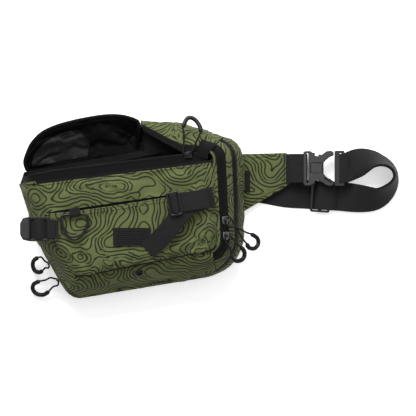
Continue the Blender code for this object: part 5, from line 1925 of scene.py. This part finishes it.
@dataclass
class FrontTrim:
    """What is sewn on the front: handle, label, ladder lock, D-ring and eyelet.

    Attributes:
        looks: The materials.
    """

    looks: Finishes

    def build(self) -> None:
        """Makes every piece of the trim."""
        self.handle()
        self.label()
        self.ladder_lock()
        self.ring()
        self.eyelet()

    def handle(self) -> None:
        """The webbing handle, flat at both ends and standing up between them, and its small tri-glide."""
        top, look = POCKET_TOP + CLEAR, self.looks.webbing
        spots = [(0.0185, -0.0462, 0.0012), (0.0260, -0.0387, 0.0030), (0.0340, -0.0307, 0.0060),
                 (0.0430, -0.0212, 0.0098), (0.0515, -0.0110, 0.0120), (0.0590, -0.0005, 0.0125),
                 (0.0690, 0.0095, 0.0115), (0.0825, 0.0168, 0.0080), (0.0970, 0.0228, 0.0022),
                 (0.1035, 0.0250, 0.0012)]
        across = [(-0.71, 0.71, 0), (-0.71, 0.71, 0), (-0.71, 0.71, 0), (-0.74, 0.67, 0), (-0.78, 0.62, 0),
                  (-0.74, 0.67, 0), (-0.54, 0.84, 0), (-0.33, 0.94, 0), (-0.25, 0.97, 0), (-0.25, 0.97, 0)]
        points = np.array(spots) + [0, 0, top]
        lower = strip("handle_strip", points, across, HANDLE_WIDTH, WEBBING, look, 0.003, 0.0004)
        place(lower, Body.BAG, Slot.WEBBING, "handle_webbing")
        turn = Matrix.Translation((0.0530, 0.0148, top + 0.0152)) @ Matrix.Rotation(math.radians(12), 4, "Z")
        threaded = ((-0.0078, -0.0012), (-0.0060, -0.0010), (-0.0037, 0.0016), (0.0, 0.0054),
                    (0.0037, 0.0016), (0.0060, -0.0008))
        points = [tuple(turn @ Vector((x, 0, z))) for x, z in threaded]
        run = ((0.0680, 0.0176, 0.0150), (0.0780, 0.0190, 0.0128), (0.0880, 0.0206, 0.0092),
               (0.0970, 0.0226, 0.0048), (0.1035, 0.0243, 0.0034))
        points += [(x, y, top + z) for x, y, z in run]
        side = unit(np.array([-0.20, 0.98, 0.0]))
        upper = strip("handle_upper_strip", points, side, HANDLE_WIDTH, 0.0013, look, 0.002, 0.0004)
        place(upper, Body.BAG, Slot.WEBBING)
        ends = np.array(points[-2:])
        for k, share in enumerate((0.25, 0.75)):
            middle = ends[0] * (1 - share) + ends[1] * share + [0, 0, 0.0010]
            line = even([middle - side * 0.0105, middle + side * 0.0105], 0.001)
            sewn = stitches(f"handle_bartack_{k}", line, self.looks.thread, 0.0016, 0.0017, up=(0.2, 0, 1))
            place(sewn, Body.BAG, Slot.NYLON)
        tri_glide("handle_glide", (0.0085, 0.0158), (0.0037, 0.0022, 0.0128), 0.003, turn, self.looks.plastic,
                  Body.BAG, "handle_triglide")

    def label(self) -> None:
        """The bare label with its woven border and rows."""
        low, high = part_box("label_patch")
        corners = box(low, high, 0.0012)
        face = high[2] - 0.0003
        base = moulding("label_base", corners, low[2], face, 0.0003, self.looks.thread)
        place(base, Body.BAG, Slot.WEBBING, "label_patch")
        for k, y in enumerate(np.linspace(low[1] + 0.0035, high[1] - 0.0035, 7)):
            line = even([(low[0] + 0.003, y, face), (high[0] - 0.003, y, face)], 0.001)
            sewn = stitches(f"label_row_{k}", line, self.looks.webbing, 0.0013, 0.0013, 0.0012)
            place(sewn, Body.BAG, Slot.WEBBING)
        edge = even([(x, y, high[2] - 0.0002) for x, y in [*corners, corners[0]]], 0.001)
        border = stitches("label_border", edge, self.looks.webbing, 0.0011, 0.0012, 0.0011)
        place(border, Body.BAG, Slot.WEBBING)

    def ladder_lock(self) -> None:
        """The ladder lock with its bars, ridged thumb tab and sewn webbing."""
        looks, bar = self.looks, 0.0030
        spot = (-0.1100, -0.0180, POCKET_TOP + CLEAR + WEBBING + CLEAR + bar / 2 + 0.0004)
        half, top = HANDLE_WIDTH / 2, bar / 2
        wide = half + 0.0035
        side = [(0.0016, wide), (-0.0245, wide), (-0.0335, wide * 0.88), (-0.0372, wide * 0.45)]
        thumb = [(-0.0258, wide * 0.82), (-0.0325, wide * 0.74), (-0.0360, wide * 0.40)]
        slots = [box((low, -half), (high, half), 0.0012)
                 for low, high in ((-0.0108, -0.0017), (-0.0234, -0.0140))]
        edge, pad = (rounded(mirrored(line), 0.003) for line in (side, thumb))
        parts = [moulding("lock_frame", edge, -top, top, 0.0009, looks.plastic, slots),
                 moulding("lock_thumb", pad, top - 0.0006, top + 0.0005, 0.0004, looks.buckle)]
        for k, at in enumerate(np.linspace(-0.0275, -0.0335, 4)):
            reach = wide * (0.70 - 0.07 * k)
            line = even([(at, -reach, top + 0.0004), (at, reach, top + 0.0004)], 0.002)
            parts.append(rod(f"lock_ridge_{k}", line, 0.0006, looks.buckle))
        for k, at in enumerate((-0.0124, -0.0246)):
            line = even([(at, -half, top), (at, half, top)], 0.002)
            parts.append(rod(f"lock_bar_{k}", line, 0.0010, looks.plastic))
        threaded = [(-0.0034, 0, -0.0024), (-0.0060, 0, -0.0004), (-0.0088, 0, 0.0026), (-0.0124, 0, 0.0040),
                    (-0.0160, 0, 0.0026), (-0.0192, 0, 0.0000), (-0.0222, 0, -0.0018), (-0.0250, 0, -0.0026)]
        web = strip("lock_web", threaded, (0, 1, 0), HANDLE_WIDTH + 0.0006, 0.0012, looks.webbing, 0.0015)
        turn = Matrix.Translation(spot)
        place_all(parts, turn, Body.LOCK, Slot.ACETAL, "ladder_lock")
        place_all([web], turn, Body.LOCK, Slot.WEBBING)
        self.tab("lock_tab", spot, (1.0, 0, 0), 0.0125, HANDLE_WIDTH - 0.001, 0.0024, "ladder_lock_tab")

    def tab(self, name: str, spot: Point, way: Point, reach: float, width: float, radius: float,
            node: str) -> None:
        """Webbing folded round a bar and sewn down.

        Args:
            name: The object's name.
            spot: Middle of the bar.
            way: Direction to where it is sewn.
            reach: How far it goes.
            width: Its width.
            radius: Radius of its middle round the bar.
            node: The CAD node it stands for.
        """
        bar, along = np.array(spot), unit(np.array(way))
        side = np.cross(UP, along)
        points = [bar + along * reach * share + UP * (radius + 0.0006) for share in (1.0, 0.5)]
        points += [bar + radius * (along * math.cos(a) + UP * math.sin(a)) + UP * 0.0004
                   for a in np.linspace(math.pi / 2, 1.5 * math.pi, 9)]
        points += [bar + along * reach * share - UP * radius for share in (0.5, 1.0)]
        piece = strip(name, points, side, width, 0.0012, self.looks.webbing)
        place(piece, Body.BAG, Slot.WEBBING, node)
        middle = bar + along * reach * 0.72 + UP * (radius + 0.0013)
        line = even([middle - side * width * 0.42, middle + side * width * 0.42], 0.001)
        place(stitches(name + "_bartack", line, self.looks.thread, 0.0017, 0.0017), Body.BAG, Slot.NYLON)

    def ring(self) -> None:
        """The D-ring and its tab."""
        wire = 0.0036
        z = POCKET_TOP + CLEAR + WEBBING + CLEAR + wire / 2 + 0.0002
        spots = [(-0.093, -0.002), (-0.076, 0.001), (-0.061, 0.000), (-0.059, -0.010), (-0.065, -0.023),
                 (-0.074, -0.031), (-0.083, -0.029), (-0.091, -0.017)]
        p = np.array([(x, y, z) for x, y in spots])
        route = smooth_route(np.vstack([p[-2:], p, p[:3]]), 0.0005)
        gaps = np.linalg.norm(route - p[0], axis=1)
        middle = len(route) // 2
        first, last = int(np.argmin(gaps[:middle])), middle + int(np.argmin(gaps[middle:]))
        loop = spread(route[first:last + 1], 61)[:-1]
        ring = rod("ring_wire", loop, wire / 2, self.looks.plastic, 14, closed=True)
        place(ring, Body.RING, Slot.NICKEL, "d_ring")
        self.tab("ring_tab", (-0.0760, 0.0012, z), (-0.14, 0.99, 0), 0.0075, 0.014, 0.0028, "d_ring_tab")

    def eyelet(self) -> None:
        """The pressed eyelet in the bottom wall, with a dark disc in its hole as painted shade."""
        up = Vector((0.1172, -0.6232, 0.7732)).normalized()
        turn = Vector((0, 0, 1)).rotation_difference(up).to_matrix().to_4x4()
        turn.translation = (0.00699, -0.07568, 0.07306)
        profile = [(0.0031, -0.0012), (0.0031, 0.0006), (0.0036, 0.0011), (0.0046, 0.0011), (0.0056, 0.0004),
                   (0.0057, -0.0006), (0.0045, -0.0012)]
        shape = bmesh.new()
        skin(shape, [[(r * x, r * y, h) for r, h in profile] for x, y in circle(36)], closed=True)
        ring = object_from("eyelet_ring", shape, self.looks.plastic)
        # Painted shade: a dark lining disc fills the eyelet's hole
        hole_shade_disc = moulding("eyelet_hole_shade", circle(24) * 0.0031, -0.0008, 0.0001, 0.0001, self.looks.lining)
        place_all((ring, hole_shade_disc), turn, Body.BAG, Slot.ACETAL, "eyelet")


@dataclass
class StrapSide:
    """The padded wing, the buckle, the shoulder strap's loop and its adjuster.

    Attributes:
        looks: The materials.
    """

    looks: Finishes

    def build(self) -> None:
        """Makes every piece of the strap's side."""
        self.wing()
        self.buckle()
        self.strap()

    def wing(self) -> None:
        """The quilted wing with its hem, its bare side tag and the webbing to the buckle."""
        looks = self.looks
        (_, _, low_z), (_, _, top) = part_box("wing")
        rows, columns = 26, 22
        low = spread([(0.1432, 0.0045), (0.1985, 0.0372), (0.202, 0.0400)], columns)
        high = spread([(0.1418, 0.0803), (0.1995, 0.0818), (0.202, 0.0800)], columns)
        left = spread([low[0], (0.1430, 0.0680), high[0]], rows)
        flat = level_patch(top, low, high, left, spread([low[-1], high[-1]], rows))
        away = edge_distance(flat, np.vstack([flat[0], flat[-1], flat[:, -1]]))
        share = np.clip(away / 0.006, 0, 1)
        flat[..., 2] += -0.0012 + 0.0012 * share * (2 - share) + 0.0003 * ruffles(flat, 0.02, 6.0)
        flat[..., 2] -= 0.0005 * np.exp(-((away - 0.0042) / 0.0010) ** 2)
        piece = thick_sheet("wing_cloth", flat, 0.0034, looks.cloth)
        give(piece, Body.BAG, Body.WING)
        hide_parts("wing")
        for k, row in enumerate((flat[2, 4:-2], flat[-3, 4:-2], flat[2:-2, -3])):
            sewn = stitches(f"wing_hem_{k}", even(row, 0.001) + [0, 0, 0.0002], looks.thread)
            place(sewn, Body.WING, Slot.NYLON)
        ends = even([(0.2022, 0.0402, top + 0.0006), (0.2022, 0.0800, top + 0.0006)], 0.004)
        bound = strip("wing_end_binding", ends, (1.0, 0.0, 0.0), 0.0062, 0.0012, looks.webbing, 0.003)
        place(bound, Body.WING, Slot.WEBBING)
        first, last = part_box("wing_tag")
        line = box(first, last, 0.0008)
        tag = moulding("wing_side_tag", line, first[2] - 0.0003, last[2], 0.0004, looks.thread)
        place(tag, Body.WING, Slot.WEBBING, "wing_tag")
        x, y, z = BUCKLE[0] + 0.0016, BUCKLE[1], BUCKLE[2]
        reach = 0.202 + 2 * CLEAR - x
        points = [(x + reach, y, z - 0.0012), (x + reach * 0.6, y, z + 0.0020), (x + 0.001, y, z + 0.0030),
                  (x + 0.0024, y, z + 0.0022), (x + 0.0030, y, z), (x + 0.0022, y, z - 0.0024),
                  (x + reach * 0.5, y, z - 0.0038), (x + reach, y, z - 0.0040)]
        web = strip("wing_strip", points, (0.0, 1.0, 0.0), STRAP_WIDTH, WEBBING, looks.webbing, 0.002, 0.0004)
        place(web, Body.WING, Slot.WEBBING, "wing_webbing")

    def buckle(self) -> None:
        """The side-release buckle's socket, plug and prongs."""
        at, shade, dark = Matrix.Translation(BUCKLE), self.looks.buckle, self.looks.frame
        half = STRAP_WIDTH / 2 + 0.0007
        upper = [(0.0, 0.0225), (0.0088, 0.0228), (0.0128, 0.0200), (0.0155, 0.0164), (0.0200, 0.0158),
                 (0.0245, 0.0182), (0.0300, 0.0224), (0.0355, 0.0232), (0.0400, 0.0212), (0.0392, 0.0168),
                 (0.0345, 0.0146), (0.0295, 0.0108), (0.0264, 0.0070)]
        outline = rounded(mirrored(upper), 0.0030, 5)
        web = box((0.0040, -half), (0.0063, half), 0.0010)
        window = box((0.0088, -0.0070), (0.0252, 0.0070), 0.0008)
        panel = box((0.0095, -0.0063), (0.0245, 0.0063), 0.0008)
        parts = [moulding("socket_face", outline, 0.0024, 0.0046, 0.0010, shade, [web, window]),
                 moulding("socket_under", outline, -0.0046, -0.0024, 0.0010, shade, [web]),
                 moulding("socket_panel", panel, 0.0028, 0.0048, 0.0005, shade)]
        for sign in (1, -1):
            for k, shift in enumerate((0.0016, 0.0034)):
                ridge = [(x, sign * (y + shift), 0.0045)
                         for x, y in ((0.0268, 0.0092), (0.0310, 0.0124), (0.0372, 0.0160))]
                name = f"socket_ridge_{k}{'lu'[sign > 0]}"
                parts.append(rod(name, smooth_route(ridge, 0.001), 0.0006, self.looks.plastic))
        core = box((0.0070, -0.0205), (0.0150, 0.0205), 0.001)
        spine = box((0.016, -0.0058), (0.0262, 0.0058), 0.001)
        bar = even([(0.0016, -0.0218, 0), (0.0016, 0.0218, 0)], 0.002)
        parts += [moulding("socket_core", core, -0.0026, 0.0026, 0.0003, shade),
                  moulding("socket_spine", spine, -0.0026, 0.0026, 0.0004, shade),
                  rod("socket_bar", bar, 0.0018, shade, 10)]
        place_all(parts, at, Body.WING, Slot.ACETAL, "buckle_socket")
        outline = box((0.0408, -0.0232), (0.0540, 0.0232), 0.0024)
        hole = box((0.0474, -half), (0.0500, half), 0.0010)
        plug = moulding("plug_frame", outline, -0.0018, 0.0018, 0.0008, dark, [hole])
        place_all([plug], at, Body.PLUG, Slot.ACETAL, "buckle_plug")
        prong = [(0.0398, 0.0208), (0.0398, 0.0168), (0.0240, 0.0105), (0.0195, 0.0122), (0.0195, 0.0185),
                 (0.0225, 0.0182), (0.0280, 0.0150)]
        for body, sign in ((Body.PRONG_UPPER, 1), (Body.PRONG_LOWER, -1)):
            line = rounded([(x, sign * y) for x, y in prong], 0.0012)
            arm = moulding(body.value + "_arm", line, -0.0020, 0.0020, 0.0007, dark)
            place_all([arm], at, body, Slot.ACETAL, body.value)

    def strap_line(self) -> tuple[Grid, Grid, Grid]:
        """The doubled strap's middle, its direction across and its face direction.

        Returns:
            Points, directions across and normals.
        """
        flat = ((WING_HINGE_X + 0.0008, 0.037, 0), (0.150, 0.0369, 0), (0.172, 0.0338, 0), (0.2, 0.0288, 0),
                (0.225, 0.0272, 0), (0.250, 0.0256, 0), (0.275, 0.0240, 0), (0.297, 0.0216, 22),
                (0.3128, 0.0208, 38), (0.3234, 0.0235, 50), (0.3335, 0.0312, 62), (0.3405, 0.0405, 74),
                (0.3432, 0.0500, 82), (0.3412, 0.0590, 82), (0.3345, 0.0667, 78), (0.3245, 0.0715, 70),
                (0.3128, 0.0735, 54), (0.3010, 0.0715, 30))
        # Each station is a point of the strap's middle as if it lay flat there, and its lean in degrees
        stations = np.array([(x, y, 0.0024, lean) for x, y, lean in flat]
                            + [(0.2920, 0.0680, 0.0085, 10), (0.2840, 0.0645, BUCKLE[2] - 0.002, 0)])
        route = smooth_route(stations[:, :3], 0.0050)
        along = along_of(stations[:, :3])
        lean = np.radians(np.interp(np.linspace(0, along[-1], len(route)), along, stations[:, 3]))
        ahead = unit(np.gradient(route, axis=0) * [1, 1, 0])
        across = np.cross(UP, ahead) * np.cos(lean)[:, None] + UP * np.sin(lean)[:, None]
        route[:, 2] += STRAP_WIDTH / 2 * np.sin(lean)
        return route, across, np.cross(ahead, across)

    def strap(self) -> None:
        """The strap under the bag, its doubled loop and the adjuster."""
        route, across, normal = self.strap_line()
        offset = WEBBING / 2 + CLEAR
        start = int(np.argmin(np.abs(route[:, 0] - 0.2640)[: len(route) // 2]))
        low, high = route - normal * offset, (route + normal * offset)[start:]
        back = np.array([-1.0, 0.064, 0.0])
        rise = [high[0] + back * d for d in (0.0070, 0.0050)]
        x, y, z = BUCKLE[0] + 0.0521, BUCKLE[1], BUCKLE[2]
        wrap = [(x + 0.0065, y, z + 0.0024), (x + 0.0020, y, z + 0.0034), (x - 0.0030, y, z + 0.0028),
                (x - 0.0041, y, z), (x - 0.0030, y, z - 0.0028), (x + 0.0020, y, z - 0.0034),
                (x + 0.0065, y, z - 0.0024)]
        turn_at = int(np.argmax(route[:, 0]))
        far = across[turn_at:]
        runs = {
            "strap_lower": (low[: turn_at + 1][::-1], across[: turn_at + 1][::-1]),
            "strap_return": (np.vstack([rise, high[: turn_at - start + 1]]),
                             np.vstack([across[[start, start]], across[start: turn_at + 1]])),
            "strap_upper": (np.vstack([high[turn_at - start:], wrap, low[turn_at:][::-1]]),
                            np.vstack([far, np.tile([0, -1, 0], (len(wrap), 1)), far[::-1]])),
        }
        made = {name: strip(name, line, sides, STRAP_WIDTH, WEBBING * 0.9, self.looks.webbing, 0.004)
                for name, (line, sides) in runs.items()}
        place(made["strap_upper"], Body.PLUG, Slot.WEBBING)
        for name in ("strap_lower", "strap_return"):
            give(made[name], Body.WING, Body.PLUG)
        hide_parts("strap_webbing")
        spot = high[0] + back * 0.0190 + UP * offset
        turn = Matrix.Translation(spot) @ Matrix.Rotation(math.atan2(-0.064, 1), 4, "Z")
        tri_glide("strap_glide", (0.0130, 0.0225), (0.0062, 0.0038, STRAP_WIDTH / 2 + 0.0007), 0.0026, turn,
                  self.looks.plastic, Body.GLIDE, "tri_glide")
        self.glide_fold(high[0], back, across[start])
        dress("strap_under", self.looks.spacer)

    def glide_fold(self, spot: np.ndarray, back: np.ndarray, side: np.ndarray) -> None:
        """The strap's sewn end over the adjuster's middle bar, which moves with the adjuster.

        Args:
            spot: Where the upper layer of the strap starts.
            back: Direction towards the bag.
            side: Direction across the strap.
        """
        rises = ((0.0256, 0.0004), (0.0248, 0.0020), (0.0228, 0.0048), (0.0190, 0.0058), (0.0130, 0.0055),
                 (0.0075, 0.0052), (0.0045, 0.0044), (0.0012, 0.0033), (-0.0025, 0.0029))
        points = [spot + back * d + UP * h for d, h in rises]
        piece = strip("glide_fold", points, side, STRAP_WIDTH - 0.0008, 0.0012, self.looks.webbing)
        place(piece, Body.GLIDE, Slot.WEBBING)
        for k, d in enumerate((0.0004, -0.0014)):
            middle = spot + back * d + [0, 0, 0.0039 - 0.0003 * k]
            line = even([middle - side * 0.017, middle + side * 0.017], 0.001)
            sewn = stitches(f"strap_bartack_{k}", line, self.looks.thread, 0.0018, 0.0018)
            place(sewn, Body.GLIDE, Slot.NYLON)


def dress(node: str, look: Material) -> Thing:
    """Gives a CAD node a better material.

    Args:
        node: The node.
        look: Its material.

    Returns:
        The node's object.
    """
    thing = frame["nodes"][node]
    thing.data.materials.clear()
    thing.data.materials.append(look)
    return thing


@dataclass
class Back:
    """The stiff back, its two pads and the panel behind the front pocket.

    Attributes:
        looks: The materials.
    """

    looks: Finishes

    def build(self) -> None:
        """Gives the flat pieces their cloth and makes the pads soft."""
        for node in ("back_board", "front_inner_panel"):
            dress(node, self.looks.lining)
        lower = [(-0.116, 0.0155), (-0.113, -0.030), (-0.078, -0.096), (0.126, -0.064), (0.130, 0.0155)]
        upper = [(-0.060, 0.0585), (0.126, 0.0585), (0.114, 0.094), (0.020, 0.112), (0.014, 0.084),
                 (-0.060, 0.070)]
        for name, corners, radius in (("back_pad_lower", lower, 0.016), ("back_pad_upper", upper, 0.006)):
            line = rounded(corners, radius, 8)
            pad = moulding(name + "_foam", line, 0.0, 0.0070, 0.0026, self.looks.spacer)
            place(pad, Body.BAG, Slot.MESH, name)


class Studio:
    """A white floor, soft light from the mouth's side and a camera straight above."""

    WIDTH = 0.549
    DISTANCE = 5.0
    MIDDLE = (0.0964, 0.0092)

    def build(self) -> None:
        """Adds the floor, the lights, the sky and the camera."""
        scene = bpy.context.scene
        scene.view_settings.view_transform = "Standard"
        self.camera(scene)
        self.sky(scene)
        shape = bmesh.new()
        bmesh.ops.create_grid(shape, x_segments=1, y_segments=1, size=3.0)
        floor = object_from("floor", shape, self.floor_finish())
        floor.location = (*self.MIDDLE, -CLEAR)
        key = self.lamp("key_light", (-0.25, 1.45, 1.35), 1.2, 52.0)
        fill = self.lamp("fill_light", (0.9, 0.3, 2.2), 2.0, 14.0)

    def camera(self, scene: bpy.types.Scene) -> None:
        """Sets the camera.

        Args:
            scene: The scene.
        """
        lens = bpy.data.cameras.new("camera")
        lens.lens = 36.0 * self.DISTANCE / self.WIDTH
        lens.clip_end = 50.0
        eye = bpy.data.objects.new("camera", lens)
        eye.location = (*self.MIDDLE, self.DISTANCE)
        scene.collection.objects.link(eye)
        scene.camera = eye

    def sky(self, scene: bpy.types.Scene) -> None:
        """Sets an even pale sky.

        Args:
            scene: The scene.
        """
        world = bpy.data.worlds.new("studio")
        world.use_nodes = True
        shade = world.node_tree.nodes["Background"]
        shade.inputs["Color"].default_value = (1.0, 1.0, 1.0, 1.0)
        shade.inputs["Strength"].default_value = 0.42
        scene.world = world

    def floor_finish(self) -> Material:
        """A white floor.

        Returns:
            The material.
        """
        made = bpy.data.materials.new("floor")
        made.use_nodes = True
        inputs = made.node_tree.nodes["Principled BSDF"].inputs
        inputs["Base Color"].default_value = (0.92, 0.92, 0.92, 1.0)
        inputs["Roughness"].default_value = 0.9
        inputs["Specular IOR Level"].default_value = 0.1
        tree = Tree(made.node_tree)
        path = tree.node("ShaderNodeLightPath").outputs
        indirect = tree.math("MAXIMUM", path["Is Glossy Ray"], path["Is Transmission Ray"])
        seen = tree.math("MAXIMUM", path["Is Camera Ray"], indirect)
        inputs["Emission Color"].default_value = (1.0, 1.0, 1.0, 1.0)
        tree.feed(inputs["Emission Strength"], tree.math("MULTIPLY", seen, 0.48))
        return made

    def lamp(self, name: str, spot: Point, size: float, power: float) -> Thing:
        """A soft square light turned to the bag.

        Args:
            name: Its name.
            spot: Where it is.
            size: Its side in metres.
            power: Its power in watts.

        Returns:
            The light.
        """
        light = bpy.data.lights.new(name, "AREA")
        light.size = size
        light.energy = power
        thing = bpy.data.objects.new(name, light)
        thing.location = spot
        thing.rotation_euler = (Vector((0.05, 0.0, 0.0)) - Vector(spot)).to_track_quat("-Z", "Y").to_euler()
        bpy.context.scene.collection.objects.link(thing)
        return thing


def main() -> None:
    """Builds the bag and its studio."""
    logging.basicConfig(level=logging.INFO, format="%(name)s: %(message)s")
    looks = Finishes(Effects())
    wall = Wall()
    Studio().build()
    for assembly in (ZipPulls(looks), SideWalls(wall, looks), Front(wall, looks), Mouth(wall, looks),
                     FrontTrim(looks), StrapSide(looks), Back(looks)):
        LOG.info("building %s", type(assembly).__name__)
        assembly.build()


if __name__ == "__main__":
    main()
